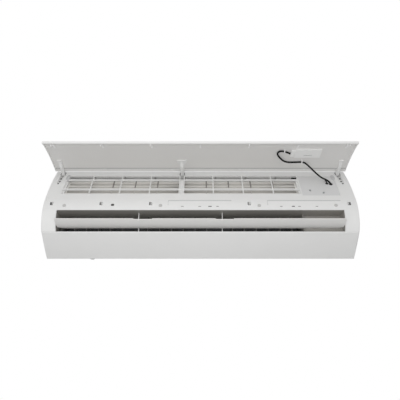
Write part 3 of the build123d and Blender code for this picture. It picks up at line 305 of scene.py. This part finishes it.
def panelMaterial():
    # white inside face; what stands up from it is painted lighter as a painted highlight, and a painted
    # shade line runs along the foot of its rib
    material, tree, surface = newMaterial("panelWhite")
    look = panelLook
    hub = swingOpen(np.append(0.0, toFrame(*browCircle())))
    ribPlace = np.append(0.0, toFrame(*frontPoint(look["ribHeight"], section["panelInner"])))
    rib = swingOpen(ribPlace)
    out = (rib - hub) / np.linalg.norm(rib - hub)
    across = (0.0, -out[2], out[1])
    place = addNode(tree, "ShaderNodeTexCoord").outputs["Object"]
    flat = addNode(tree, "ShaderNodeVectorMath", {"operation": "MULTIPLY", 1: (0.0, 1.0, 1.0)},
                   {0: place})
    # 1 where the distance from the brow's middle is less than that of the panel's face: the painted
    # highlight
    reach = addNode(tree, "ShaderNodeVectorMath", {"operation": "DISTANCE", 1: tuple(hub)},
                    {0: flat.outputs[0]})
    face, step = look["faceRadius"], look["step"]
    raisedHighlight = addNode(tree, "ShaderNodeMapRange", {"From Min": face - step, "From Max": face - 2 * step},
                     {"Value": reach.outputs["Value"]})
    # 1 on the rib's painted shade line, falling to 0 over the line's width along the face
    offset = addNode(tree, "ShaderNodeVectorMath", {"operation": "SUBTRACT", 1: tuple(rib)},
                     {0: flat.outputs[0]})
    along = addNode(tree, "ShaderNodeVectorMath", {"operation": "DOT_PRODUCT", 1: across},
                    {0: offset.outputs[0]})
    away = addNode(tree, "ShaderNodeMath", {"operation": "ABSOLUTE"}, {0: along.outputs["Value"]})
    line = addNode(tree, "ShaderNodeMapRange", {"From Min": look["shadeLineWidth"], "From Max": 0.0},
                   {"Value": away.outputs[0]})
    skin = useGroup(tree, moulded, {"Scale": look["scale"], "Drift": look["drift"]})
    colour = shaded(tree, look["colour"], skin.outputs["Shade"])
    colour = overlaid(tree, colour, look["line"], line.outputs[0])
    colour = overlaid(tree, colour, look["raisedHighlight"], raisedHighlight.outputs[0])
    mouldedFinish(tree, surface, skin, colour)
    return material


metals = {
    "steel": {"levels": (190, 192, 194), "rough": 0.34, "stretch": (1.0, 1.0, 0.05)},
    "fins": {"levels": (205, 208, 210), "rough": 0.42, "stretch": (1.0, 0.02, 0.02)},
    "copper": {"levels": (206, 138, 104), "rough": 0.28, "stretch": (0.05, 1.0, 1.0), "drift": 0.3},
    "nutBrass": {"levels": (214, 188, 128), "rough": 0.25, "stretch": (0.1, 1.0, 1.0), "drift": 0.2},
    "motorPaint": {"levels": (58, 58, 60), "rough": 0.4, "stretch": (0.1, 1.0, 1.0), "drift": 0.2,
                   "metallic": 0.2},
}
metalRange = {"brighter": 0.4, "smoother": 0.75, "rougher": 1.3}  # shares of the drift and roughness


def metalMaterial(name):
    # metal with streaks along one axis and a slow change of tone
    look = metals[name]
    drift = look.get("drift", 0.12)
    material, tree, surface = newMaterial(name)
    place = addNode(tree, "ShaderNodeTexCoord").outputs["Object"]
    drawn = addNode(tree, "ShaderNodeMapping", {"Scale": look["stretch"]}, {"Vector": place})
    streak = addNode(tree, "ShaderNodeTexNoise", {"Scale": 400.0, "Detail": 4.0},
                     {"Vector": drawn.outputs[0]})
    slow = addNode(tree, "ShaderNodeTexNoise", {"Scale": 25.0, "Detail": 5.0}, {"Vector": place})
    shade = addNode(tree, "ShaderNodeMapRange",
                    {"To Min": 1 - drift, "To Max": 1 + drift * metalRange["brighter"]},
                    {"Value": slow.outputs["Fac"]})
    colour = shaded(tree, srgb(*look["levels"]), shade.outputs[0])
    tree.links.new(colour, surface.inputs["Base Color"])
    spread = addNode(tree, "ShaderNodeMapRange",
                     {"To Min": look["rough"] * metalRange["smoother"],
                      "To Max": look["rough"] * metalRange["rougher"]},
                     {"Value": streak.outputs["Fac"]})
    tree.links.new(spread.outputs[0], surface.inputs["Roughness"])
    relief(tree, surface, streak.outputs["Fac"], strength=0.06, distance=0.0003)
    surface.inputs["Metallic"].default_value = look.get("metallic", 1.0)
    return material


rubbers = {"rubberBlack": srgb(8, 8, 9), "boardGreen": srgb(42, 104, 66)}


def rubberMaterial(name):
    # dull skin whose fine grain changes its shade and roughness
    material, tree, surface = newMaterial(name)
    place = addNode(tree, "ShaderNodeTexCoord").outputs["Object"]
    grain = addNode(tree, "ShaderNodeTexNoise", {"Scale": 1200.0, "Detail": 3.0}, {"Vector": place})
    shade = addNode(tree, "ShaderNodeMapRange", {"To Min": 0.7, "To Max": 1.3},
                    {"Value": grain.outputs["Fac"]})
    tree.links.new(shaded(tree, rubbers[name], shade.outputs[0]), surface.inputs["Base Color"])
    rough = addNode(tree, "ShaderNodeMapRange", {"To Min": 0.55, "To Max": 0.8},
                    {"Value": grain.outputs["Fac"]})
    tree.links.new(rough.outputs[0], surface.inputs["Roughness"])
    surface.inputs["Specular IOR Level"].default_value = 0.2
    relief(tree, surface, grain.outputs["Fac"], strength=0.1, distance=0.0003)
    return material


filterLook = {
    "inset": 0.015, "wall": 0.003, "low": 0.171, "turnHeight": 0.252, "turnRadius": 0.030,
    "back": 0.165, "samples": (200, 60, 80), "meshWall": 0.0005, "rowStep": 0.0005, "edge": 0.002,
    "ribPitch": 0.0070, "ribHeight": 0.0007, "ribWidth": 0.0016, "threadPitch": 0.0009,
    "merge": 1e-6, "gripTop": 0.012, "gripProud": 0.0005,
    "border": 0.006, "rib": 0.0028, "ribEdges": (0.75, 0.5), "columns": 5,
    # the darker upright ribs and their fade lower down are painted shade
    "fade": (0.036, 0.046), "paleShare": 0.35,
    "frameColour": srgb(240, 238, 234), "ribShadeColour": srgb(136, 131, 126),
    "weaveColour": srgb(208, 205, 200),
    "spans": {"left_filter": (-0.414, -0.0595), "right_filter": (-0.0555, 0.299)},
}


def weaveMaterial():
    # woven threads: two crossed sine grids, light threads over darker gaps
    look = filterLook
    material, tree, surface = newMaterial("filterWeave")
    place = addNode(tree, "ShaderNodeTexCoord").outputs["Object"]
    split = addNode(tree, "ShaderNodeSeparateXYZ", links={0: place})
    rise = addNode(tree, "ShaderNodeMath", {"operation": "ADD"},
                   {0: split.outputs["Y"], 1: split.outputs["Z"]})
    waves = []
    for socket in (split.outputs["X"], rise.outputs[0]):
        turns = addNode(tree, "ShaderNodeMath",
                        {"operation": "MULTIPLY", 1: 2 * math.pi / look["threadPitch"]}, {0: socket})
        wave = addNode(tree, "ShaderNodeMath", {"operation": "SINE"}, {0: turns.outputs[0]})
        waves.append(wave.outputs[0])
    threads = addNode(tree, "ShaderNodeMath", {"operation": "MAXIMUM"}, {0: waves[0], 1: waves[1]})
    shade = addNode(tree, "ShaderNodeMapRange", {"From Min": -0.6, "From Max": 0.8,
                                                 "To Min": 0.86, "To Max": 1.0},
                    {"Value": threads.outputs[0]})
    colour = shaded(tree, look["weaveColour"], shade.outputs[0])
    tree.links.new(colour, surface.inputs["Base Color"])
    relief(tree, surface, threads.outputs[0], strength=0.3, distance=0.0002)
    surface.inputs["Roughness"].default_value = 0.7
    return material


def ribGroup():
    # stripes along X of painted shade: 1 on a rib, 0 between, only within Reach of the Middle, and paler
    # lower down
    look = filterLook
    labels = ("First", "Pitch", "Middle", "Reach")
    group, inside, out = newGroup("UprightRibShade", [(label, "NodeSocketFloat", 0.0) for label in labels],
                                  [("Mask", "NodeSocketFloat")])
    place = addNode(group, "ShaderNodeTexCoord").outputs["Object"]
    split = addNode(group, "ShaderNodeSeparateXYZ", links={0: place})
    shift = addNode(group, "ShaderNodeMath", {"operation": "SUBTRACT"},
                    {0: split.outputs["X"], 1: inside.outputs["First"]})
    half = addNode(group, "ShaderNodeMath", {"operation": "MULTIPLY", 1: 0.5},
                   {0: inside.outputs["Pitch"]})
    near = addNode(group, "ShaderNodeMath", {"operation": "PINGPONG"},
                   {0: shift.outputs[0], 1: half.outputs[0]})
    inner = addNode(group, "ShaderNodeMath", {"operation": "COMPARE"},
                    {0: split.outputs["X"], 1: inside.outputs["Middle"], 2: inside.outputs["Reach"]})
    pale, full = look["fade"]
    upper = addNode(group, "ShaderNodeMapRange",
                    {"From Min": pale, "From Max": full, "To Min": look["paleShare"]},
                    {"Value": split.outputs["Z"]})
    strength = addNode(group, "ShaderNodeMath", {"operation": "MULTIPLY"},
                       {0: upper.outputs[0], 1: inner.outputs[0]})
    outer, core = (look["rib"] * share for share in look["ribEdges"])
    rib = addNode(group, "ShaderNodeMapRange", {"From Min": outer, "From Max": core},
                  {"Value": near.outputs[0], "To Max": strength.outputs[0]})
    group.links.new(rib.outputs[0], out.inputs["Mask"])
    return group


uprightRibShade = ribGroup()


def ribbedMaterial(name, start, end):
    # pale filter frame whose upright ribs are darker with painted shade
    look = filterLook
    pitch = (end - start - 2 * look["border"] + look["rib"]) / look["columns"]
    material, tree, surface = newMaterial(name)
    ribs = useGroup(tree, uprightRibShade, {"First": start + look["border"] - look["rib"] / 2,
                                        "Pitch": pitch, "Middle": (start + end) / 2,
                                        "Reach": pitch * (look["columns"] - 1) / 2})
    skin = useGroup(tree, moulded, {"Scale": 800.0, "Drift": 0.05})
    colour = shaded(tree, look["frameColour"], skin.outputs["Shade"])
    colour = overlaid(tree, colour, look["ribShadeColour"], ribs.outputs["Mask"])
    mouldedFinish(tree, surface, skin, colour)
    return material


materials = {name: plasticMaterial(name) for name in plastics}
materials["panelWhite"] = panelMaterial()
for node, span in filterLook["spans"].items():
    materials[node] = ribbedMaterial(node + "Frame", *span)
materials["filterWeave"] = weaveMaterial()
for name in metals:
    materials[name] = metalMaterial(name)
for name in rubbers:
    materials[name] = rubberMaterial(name)

finish = {
    "casingWhite": ["front_frame", "guard_bars", "top_grille", "louver_supports", "hinge_pins"],
    "louverWhite": ["air_louver"],
    "capWhite": ["screw_caps"],
    "panelWhite": ["front_panel", "panel_arms"],
    "coverGrey": ["control_cover"],
    "caseHighlightWhite": ["display_case", "display_plug", "lead_clips"],
    "chassisShadeGrey": ["rear_chassis", "drain_pan", "drain_spigot"],
    "ductShadeGrey": ["outlet_duct", "louver_motor"],
    "left_filter": ["left_filter"],
    "right_filter": ["right_filter"],
    "fanGrey": ["cross_flow_fan"],
    "steel": ["control_box", "motor_clamp", "coil_end_sheets", "wall_plate", "screws"],
    "fins": ["coil_fins"],
    "copper": ["coil_tubes", "liquid_pipe", "suction_pipe"],
    "nutBrass": ["flare_nuts"],
    "motorPaint": ["fan_motor"],
    "rubberBlack": ["fan_bearing", "temperature_sensor"],
    "boardGreen": ["control_board", "display_board"],
}
finish["vaneShadeGrey"] = [name for name in nodes if name.startswith(("vane_", "link_bar_"))]
for material, names in finish.items():
    for name in names:
        slots = nodes[name].data.materials
        slots.clear()
        slots.append(materials[material])
print("materials given to the solids")


def filterLine(shift, count):
    # the filter's path: up the brow, round the bend of turnRadius, then level to the back
    look = filterLook
    inset, turn = look["inset"] + shift, look["turnRadius"] - shift
    browDepth, browMiddle = browCircle()
    radius = section["browRadius"]
    angle = math.asin((look["turnHeight"] - browMiddle) / radius)
    hub = radius - look["inset"] - look["turnRadius"]
    hubDepth, hubHeight = browDepth - hub * math.cos(angle), browMiddle + hub * math.sin(angle)
    upCount, turnCount, backCount = look["samples"]
    heights = np.linspace(look["low"], look["turnHeight"], upCount)
    front = np.stack(frontPoint(heights, inset), -1)
    around = np.linspace(angle, math.pi / 2, turnCount)[1:]
    turned = np.stack([hubDepth - turn * np.cos(around), hubHeight + turn * np.sin(around)], -1)
    run = np.linspace(turned[-1], (look["back"], turned[-1][1]), backCount)[1:]
    line = np.concatenate([front, turned, run])
    along = np.concatenate([[0], np.cumsum(np.linalg.norm(np.diff(line, axis=0), axis=1))])
    even = np.linspace(0, along[-1], count)
    places = np.stack([np.interp(even, along, line[:, i]) for i in range(2)], -1)
    return places, even


def looseGroups(work):
    # sets of vertices joined by edges
    left, groups = set(work.verts), []
    while left:
        seed = left.pop()
        group, front = [seed], [seed]
        while front:
            near = [e.other_vert(v) for v in front for e in v.link_edges]
            front = [v for v in dict.fromkeys(near) if v in left]
            left.difference_update(front)
            group.extend(front)
        groups.append(group)
    return groups


def filterFrame(node):
    # the solid's own ribbed frame without its plain net; the grips that stand proud have no ribs
    look = filterLook
    mesh = nodes[node].data.copy()
    work = bmesh.new()
    work.from_mesh(mesh)
    bmesh.ops.remove_doubles(work, verts=work.verts, dist=look["merge"])
    groups = looseGroups(work)
    frameVerts = max(groups, key=len)
    drop = [v for group in groups if group is not frameVerts for v in group]
    bmesh.ops.delete(work, geom=drop, context="VERTS")
    work.to_mesh(mesh)
    work.free()
    ribbed = bpy.data.objects.new(node + "Frame", mesh)
    bpy.context.collection.objects.link(ribbed)
    mesh.materials.clear()
    mesh.materials.append(materials[node])
    mesh.materials.append(materials["filterGrip"])
    centres = np.empty(len(mesh.polygons) * 3)
    mesh.polygons.foreach_get("center", centres)
    centres = centres.reshape(-1, 3)
    hub = toFrame(*browCircle())
    reach = np.hypot(centres[:, 1] - hub[0], centres[:, 2] - hub[1])
    face = section["browRadius"] - look["inset"]
    proud = (reach > face + look["gripProud"]) & (centres[:, 2] < look["gripTop"])
    mesh.polygons.foreach_set("material_index", proud.astype(np.int32))
    return ribbed


def filterWeave(node, start, end):
    # the path's thin profile carried along X; each ridge across it rises by 1 - t^2, t from -1 to 1
    look = filterLook
    _, total = filterLine(look["wall"], 2)
    count = int(total[-1] / look["rowStep"]) + 1
    back, along = filterLine(look["wall"] + look["meshWall"], count)
    face, _ = filterLine(look["wall"], count)
    t = ((along / look["ribPitch"]) % 1 - 0.5) * 2 * look["ribPitch"] / look["ribWidth"]
    ridge = look["ribHeight"] * np.clip(1 - t ** 2, 0, 1)
    out = face - back
    out /= np.linalg.norm(out, axis=1, keepdims=True)
    face = face + out * ridge[:, None]
    ring = np.concatenate([toFrame(*face.T), toFrame(*back[::-1].T)])
    xs = (start + look["edge"], end - look["edge"])
    corners = np.concatenate([np.column_stack([np.full(len(ring), x), ring]) for x in xs])
    n = len(ring)
    here = np.arange(n)
    after = (here + 1) % n
    sides = np.column_stack([after, here, here + n, after + n])
    row = np.arange(count - 1)
    cap = np.column_stack([row, row + 1, n - 2 - row, n - 1 - row])
    caps = np.stack([cap, cap[:, ::-1] + n], 1).reshape(-1, 4)
    weave = makeMesh(node + "Weave", corners, np.concatenate([sides, caps]))
    weave.data.materials.append(materials["filterWeave"])
    return weave


def filterPieces():
    # the ribbed frame, and a fine-ribbed woven sheet that lies behind it
    for node, (start, end) in filterLook["spans"].items():
        ribbed = filterFrame(node)
        weave = filterWeave(node, start, end)
        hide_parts(node)
        for piece in (ribbed, weave):
            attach(piece, "casing")


filterPieces()
print("filters built")


def recalculated(obj):
    # every face of a closed piece turned outwards
    work = bmesh.new()
    work.from_mesh(obj.data)
    bmesh.ops.recalc_face_normals(work, faces=work.faces)
    work.to_mesh(obj.data)
    work.free()
    return obj


def frontBlock(name, outline, insets, material, body, bevel=0.0003):
    # a prism that follows the front: the outline's places (x, height when shut) at two insets, in mm
    outline = np.array(outline, float) / 1000
    foot, head = (np.asarray(inset) / 1000 for inset in insets)
    corners = np.concatenate([np.column_stack([outline[:, 0], toFrame(*frontPoint(outline[:, 1], inset))])
                              for inset in (head, foot)])
    if body == "panel":
        corners = swingOpen(corners)
    n = len(outline)
    ring = np.arange(n)
    after = (ring + 1) % n
    sides = np.column_stack([ring, after, after + n, ring + n])
    obj = recalculated(makeMesh(name, corners, [ring, ring[::-1] + n, *sides], smooth=False))
    if bevel:
        soft = obj.modifiers.new("edges", "BEVEL")
        soft.width = bevel
        soft.segments = 2
    obj.data.materials.append(materials[material])
    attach(obj, body)


def rectangle(x, height, wide, tall):
    return [(x - wide / 2, height - tall / 2), (x + wide / 2, height - tall / 2),
            (x + wide / 2, height + tall / 2), (x - wide / 2, height + tall / 2)]


def circle(x, height, radius, count=20):
    turn = np.linspace(0, 2 * np.pi, count, endpoint=False)
    return list(zip(x + radius * np.cos(turn), height + radius * np.sin(turn)))


# millimetres; heights are those of the shut panel, and insets run into the front from its face
hingeLook = {
    "arms": {"left": -436.0, "middle": -57.5, "right": 436.0},
    # the dark strips beside the arms are painted shade
    "armShadeOffset": 7.2, "armShadeSize": (1.6, 15.0), "armShadeHeight": 276.0, "armShadeInsets": (0.4, -0.7),
    # the black discs in the outer pockets stand for holes: painted shade
    "screws": ((222.4, (0.6, -0.3)), (239.5, (4.9, 4.2)), (255.0, (4.9, 4.3))),
    "holeShadeRadius": 2.6, "holeShadeShift": 2.0,
    "bossPlaces": {"left": -415.5, "right": 415.5}, "bossHeight": 256.0, "bossHalf": 15.5,
    "bossRadius": 7.0, "bossFlat": 0.62, "bossInset": 2.6, "bossPower": 4, "bossEnd": 0.08,
    "bossSteps": 24,
    "shoeHalf": ((15.0, 227.5), (15.0, 231.5), (7.0, 243.0), (7.0, 246.0)), "shoeInsets": (-5.7, -3.2),
    "boxHeight": 253.0, "boxSize": (13.5, 17.0), "boxInsets": (-5.7, -1.8),
}


def hingeBoss(name, x):
    # a rounded knuckle along the front: its radius goes as the square root of 1 - t^bossPower, with
    # t from -1 to 1, and its round section is flattened square to the front
    look = hingeLook
    steps, end = look["bossSteps"], look["bossEnd"]
    t = -np.cos(np.linspace(end, np.pi - end, steps))
    around = np.linspace(0, 2 * np.pi, steps, endpoint=False)
    t, around = np.meshgrid(t, around, indexing="ij")
    size = look["bossRadius"] * np.sqrt(1 - t ** look["bossPower"])
    height = look["bossHeight"] + look["bossHalf"] * t
    inset = look["bossInset"] + look["bossFlat"] * size * np.sin(around)
    spot = toFrame(*frontPoint(height / 1000, inset / 1000))
    corners = np.concatenate([((x + size * np.cos(around)) / 1000)[..., None], spot], -1)
    first = np.arange(steps)
    last = first[::-1] + (steps - 1) * steps
    obj = recalculated(makeMesh(name, corners, [*gridFaces(steps, steps), first, last]))
    obj.data.materials.append(materials["bossGrey"])
    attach(obj, "casing")


def hingeDetails():
    # dark strips of painted shade beside the arms, black discs of painted shade for the holes in the outer
    # arms' pockets, knuckles, the middle arm's foot
    look = hingeLook
    for side, x in look["arms"].items():
        for way, hand in ((-1, "left"), (1, "right")):
            outline = rectangle(x + way * look["armShadeOffset"], look["armShadeHeight"], *look["armShadeSize"])
            frontBlock(f"arm_shade_{side}_{hand}", outline, look["armShadeInsets"], "paintedShadeGrey", "casing")
        if side == "middle":
            continue
        for index, (height, insets) in enumerate(look["screws"]):
            outline = circle(x + math.copysign(look["holeShadeShift"], x), height, look["holeShadeRadius"])
            frontBlock(f"pocket_hole_shade_{side}_{index}", outline, insets, "rubberBlack", "casing",
                       bevel=0)
    for side, x in look["bossPlaces"].items():
        hingeBoss(f"hinge_boss_{side}", x)
    middle, half = look["arms"]["middle"], look["shoeHalf"]
    shoe = [(middle - x, height) for x, height in half] + [(middle + x, height) for x, height in half[::-1]]
    frontBlock("arm_shoe", shoe, look["shoeInsets"], "panelWhite", "panel")
    frontBlock("arm_box", rectangle(middle, look["boxHeight"], *look["boxSize"]), look["boxInsets"],
               "panelWhite", "panel")


# millimetres, as in hingeLook
tabLook = {
    "count": 7, "pitch": 144.0, "wide": 4.4, "low": 137.0, "high": 161.0,
    "foot": -5.8, "proud": -1.9, "end": -4.0, "bevel": 0.0002,
}


def tabTails():
    # each catch tab runs on over the panel's face as a wedge, lower towards the hinge, and is painted
    # whiter as a painted highlight
    look = tabLook
    heads = [look["proud"], look["proud"], look["end"], look["end"]]
    for index in range(look["count"]):
        x = (index - (look["count"] - 1) / 2) * look["pitch"]
        outline = rectangle(x, (look["low"] + look["high"]) / 2, look["wide"], look["high"] - look["low"])
        frontBlock(f"tab_tail_{index + 1}", outline, ([look["foot"]] * 4, heads), "tabHighlightWhite", "panel",
                   bevel=look["bevel"])


# millimetres, as in hingeLook
stripLook = {
    "catches": (-436.0, -291.0, -146.0, 143.0, 436.0), "catchHeight": 133.0, "catchSize": (9.0, 12.0),
    # the L in each catch pocket is painted shade
    "catchSqueeze": 0.98, "shadeBand": 2.4, "catchShadeInsets": (6.3, 0.3),
    "slots": (-53.0, -2.0, 50.0, 236.0, 289.0, 340.0), "slotSize": (7.6, 1.9),
    "drains": (28.0, 271.0), "drainSize": (9.2, 3.2),
    # the dark blocks in the slots are painted shade
    "slotShadeHeight": 122.4, "slotShadeInsets": (3.6, 0.8),
    "pads": ((-94.5, 91.0), (197.0, 412.0)), "padTop": 143.2, "padLow": 126.5,
    # the grey rim along each pad's top and left is painted shade
    "rim": 1.1, "rimInsets": (0.3, -0.85),
}


def catchShades():
    # an L of painted shade along the foot and the left side of each catch pocket, mirrored at the last
    look = stripLook
    wide, tall = look["catchSize"]
    low, high = look["catchHeight"] - tall / 2, look["catchHeight"] + tall / 2
    half, shadeBand = wide / 2, look["shadeBand"]
    corner = [(-half, low), (half, low), (half, low + shadeBand), (shadeBand - half, low + shadeBand),
              (shadeBand - half, high), (-half, high)]
    last = len(look["catches"]) - 1
    for index, x in enumerate(look["catches"]):
        way = -look["catchSqueeze"] if index == last else look["catchSqueeze"]
        outline = [(x + way * across, height) for across, height in corner]
        frontBlock(f"catch_shade_{index + 1}", outline, look["catchShadeInsets"],
                   "paintedShadeGrey" if index in (0, last) else "seamShadeGrey", "casing", bevel=0)


def stripDetails():
    # dark blocks of painted shade in the slots, and a fine grey line of painted shade along the top and
    # left of each raised pad
    look = stripLook
    for kind in ("slot", "drain"):
        for index, x in enumerate(look[kind + "s"]):
            outline = rectangle(x, look["slotShadeHeight"], *look[kind + "Size"])
            frontBlock(f"{kind}_painted_shade_{index + 1}", outline, look["slotShadeInsets"], "paintedShadeGrey",
                       "casing", bevel=0)
    top, low = look["padTop"], look["padLow"]
    for index, (left, right) in enumerate(look["pads"]):
        upper = rectangle((left + right) / 2, top, right - left, look["rim"] * 2)
        side = rectangle(left, (top + low) / 2, look["rim"], top - low)
        for kind, outline in (("rim", upper), ("side", side)):
            frontBlock(f"pad_{kind}_{index + 1}", outline, look["rimInsets"], "rimWhite", "casing",
                       bevel=0)


hingeDetails()
tabTails()
catchShades()
stripDetails()
print("hinge pieces, tabs and strip details built")

# the leads' routes in metres, with the panel open
displayLead = {
    "diameter": 0.0050, "sides": 16, "samples": 24,
    "onPanel": [(0.2708, -0.225897, 0.117365), (0.245, -0.245555, 0.116732),
                (0.230, -0.229943, 0.117284), (0.240, -0.205004, 0.117378),
                (0.262, -0.176728, 0.116313), (0.296, -0.176845, 0.11632)],
    "free": [(0.3177, -0.178602, 0.116422), (0.3298, -0.176, 0.1106), (0.3667, -0.173, 0.0654),
             (0.3905, -0.168, 0.0575), (0.403, -0.160, 0.0476), (0.4055, -0.148, 0.034)],
}
sensorLead = {
    "diameter": 0.0034, "sides": 14, "samples": 20,
    "route": [(0.388, -0.137067, 0.070116), (0.388, -0.152826, 0.066159),
              (0.3896, -0.160112, 0.054118), (0.390, -0.156166, 0.038566)],
}


def routeLine(points, samples):
    # centreline of a lead: NURBS of order 3 led by its given points
    curve = bpy.data.curves.new("leadRoute", "CURVE")
    curve.dimensions = "3D"
    spline = curve.splines.new("NURBS")
    spline.points.add(len(points) - 1)
    for point, place in zip(spline.points, points):
        point.co = (*place, 1.0)
    spline.order_u = 3
    spline.use_endpoint_u = True
    curve.resolution_u = samples
    holder = bpy.data.objects.new("leadRoute", curve)
    line = bpy.data.meshes.new_from_object(holder)
    places = np.empty(len(line.vertices) * 3)
    line.vertices.foreach_get("co", places)
    bpy.data.objects.remove(holder)
    bpy.data.curves.remove(curve)
    bpy.data.meshes.remove(line)
    return places.reshape(-1, 3)


def tubeAlong(name, line, radius, sides):
    # a ring carried along the line, turned as little as possible from one place to the next
    tangent = np.gradient(line, axis=0)
    tangent /= np.linalg.norm(tangent, axis=1, keepdims=True)
    side = np.cross(tangent[0], (0, 0, 1.0))
    turned = [side / np.linalg.norm(side)]
    for t in tangent[1:]:
        side = turned[-1] - t * (turned[-1] @ t)
        turned.append(side / np.linalg.norm(side))
    first = np.array(turned)
    second = np.cross(tangent, first)
    angle = np.linspace(0, 2 * np.pi, sides, endpoint=False)
    ring = first[:, None] * np.cos(angle)[:, None] + second[:, None] * np.sin(angle)[:, None]
    corners = line[:, None] + radius * ring
    start = np.arange(sides)
    end = start[::-1] + (len(line) - 1) * sides
    faces = gridFaces(len(line), sides)[:, ::-1]
    return makeMesh(name, corners, [*faces, start, end])


grommetLook = {
    "gap": 0.0005, "thick": 0.0013, "inset": 0.0008, "above": 0.002, "around": 28, "section": 12,
}


def grommet(name, line, radius):
    # a torus round the place where a lead goes through the cover, lying in the cover's face
    look = grommetLook
    hub = toFrame(*browCircle())
    inset = section["browRadius"] - np.hypot(line[:, 1] - hub[0], line[:, 2] - hub[1])
    lower = line[:, 2] < line[:, 2].mean() + look["above"]
    middle = line[np.argmax((inset > look["inset"]) & lower)]
    out = np.array([0.0, middle[1] - hub[0], middle[2] - hub[1]])
    out /= np.linalg.norm(out)
    right = np.array([1.0, 0.0, 0.0])
    across = np.cross(out, right)
    u = np.linspace(0, 2 * np.pi, look["around"], endpoint=False)[:, None, None]
    v = np.linspace(0, 2 * np.pi, look["section"], endpoint=False)[None, :, None]
    wide = radius + look["gap"] + look["thick"] * (1 + np.cos(v))
    corners = middle + wide * (np.cos(u) * right + np.sin(u) * across) + look["thick"] * np.sin(v) * out
    faces = gridFaces(look["around"], look["section"], wrapRows=True)
    obj = recalculated(makeMesh(name, corners, faces))
    obj.data.materials.append(materials["rubberBlack"])
    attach(obj, "casing")


def leads():
    lead = displayLead
    line = routeLine(lead["onPanel"] + lead["free"], lead["samples"])
    cord = tubeAlong("displayCord", line, lead["diameter"] / 2, lead["sides"])
    cord.data.materials.append(materials["rubberBlack"])
    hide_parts("display_lead", "display_lead_span")
    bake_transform(cord)
    grommet("lead_grommet", line, lead["diameter"] / 2)
    thin = sensorLead
    line = routeLine(thin["route"], thin["samples"])
    wire = tubeAlong("sensorCord", line, thin["diameter"] / 2, thin["sides"])
    wire.data.materials.append(materials["rubberBlack"])
    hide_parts("sensor_lead")
    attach(wire, "casing")
    grommet("sensor_grommet", line, thin["diameter"] / 2)


leads()
print("leads laid")

studio = {
    "worldLow": 0.72, "worldTop": 0.36, "worldRise": (-0.7, 0.9),
    "keyLamp": {"place": (-0.2, -1.6, 0.2), "power": 3.6, "size": 1.0},
    "fillLamp": {"place": (-0.1, -1.3, -0.8), "power": 6.5, "size": 1.2},
    "lampTarget": (0.0, -0.1, 0.0),
    "floorLevel": -1.25, "floorReach": 4.0, "floorColour": (0.85, 0.85, 0.85), "floorRough": 0.8,
    "cameraPlace": (0.0, -1.590, -0.735), "cameraPitch": 27.0, "lens": 47.7, "sensor": 36.0,
    "shiftX": -0.0011,
}


def lamp(name):
    look = studio[name]
    data = bpy.data.lights.new(name, "AREA")
    data.energy = look["power"]
    data.size = look["size"]
    obj = bpy.data.objects.new(name, data)
    bpy.context.collection.objects.link(obj)
    obj.location = look["place"]
    obj.visible_camera = False
    aim = Vector(studio["lampTarget"]) - Vector(look["place"])
    obj.rotation_euler = aim.to_track_quat("-Z", "Y").to_euler()


def world():
    # white to the camera, gloss and glass; its light on the object falls from worldLow to worldTop
    sky = bpy.data.worlds.new("studioWorld")
    bpy.context.scene.world = sky
    sky.use_nodes = True
    tree = sky.node_tree
    tree.nodes.clear()
    rays = addNode(tree, "ShaderNodeLightPath")
    seen = addNode(tree, "ShaderNodeMath", {"operation": "ADD", "use_clamp": True},
                   {0: rays.outputs["Is Camera Ray"], 1: rays.outputs["Is Glossy Ray"]})
    seen = addNode(tree, "ShaderNodeMath", {"operation": "ADD", "use_clamp": True},
                   {0: seen.outputs[0], 1: rays.outputs["Is Transmission Ray"]})
    ray = addNode(tree, "ShaderNodeTexCoord")
    split = addNode(tree, "ShaderNodeSeparateXYZ", links={0: ray.outputs["Generated"]})
    low, high = studio["worldRise"]
    shape = addNode(tree, "ShaderNodeMapRange",
                    {"From Min": low, "From Max": high,
                     "To Min": studio["worldLow"], "To Max": studio["worldTop"]},
                    {"Value": split.outputs["Z"]})
    level = addNode(tree, "ShaderNodeMapRange", {"To Max": 1.0},
                    {"Value": seen.outputs[0], "To Min": shape.outputs[0]})
    glow = addNode(tree, "ShaderNodeBackground", {"Color": (1.0, 1.0, 1.0, 1.0)},
                   {"Strength": level.outputs[0]})
    addNode(tree, "ShaderNodeOutputWorld", links={0: glow.outputs[0]})


def floorPlane():
    reach, level = studio["floorReach"], studio["floorLevel"]
    corners = np.array([[-reach, -reach, level], [reach, -reach, level],
                        [reach, reach, level], [-reach, reach, level]])
    obj = makeMesh("studioFloor", corners, [(0, 1, 2, 3)], smooth=False)
    material, tree, surface = newMaterial("floorPale")
    surface.inputs["Base Color"].default_value = (*studio["floorColour"], 1.0)
    surface.inputs["Roughness"].default_value = studio["floorRough"]
    # seen from below, the floor lets the view through
    below = addNode(tree, "ShaderNodeNewGeometry").outputs["Backfacing"]
    clear = addNode(tree, "ShaderNodeBsdfTransparent")
    mix = addNode(tree, "ShaderNodeMixShader",
                  links={0: below, 1: surface.outputs[0], 2: clear.outputs[0]})
    tree.links.new(mix.outputs[0], tree.nodes["Material Output"].inputs["Surface"])
    obj.data.materials.append(material)


def camera():
    data = bpy.data.cameras.new("photoCamera")
    data.lens = studio["lens"]
    data.sensor_width = studio["sensor"]
    data.shift_x = studio["shiftX"]
    obj = bpy.data.objects.new("photoCamera", data)
    bpy.context.collection.objects.link(obj)
    obj.location = studio["cameraPlace"]
    obj.rotation_euler = (math.radians(90 + studio["cameraPitch"]), 0, 0)
    bpy.context.scene.camera = obj


world()
floorPlane()
lamp("keyLamp")
lamp("fillLamp")
camera()
bpy.context.scene.view_settings.view_transform = "Standard"
print("studio set")
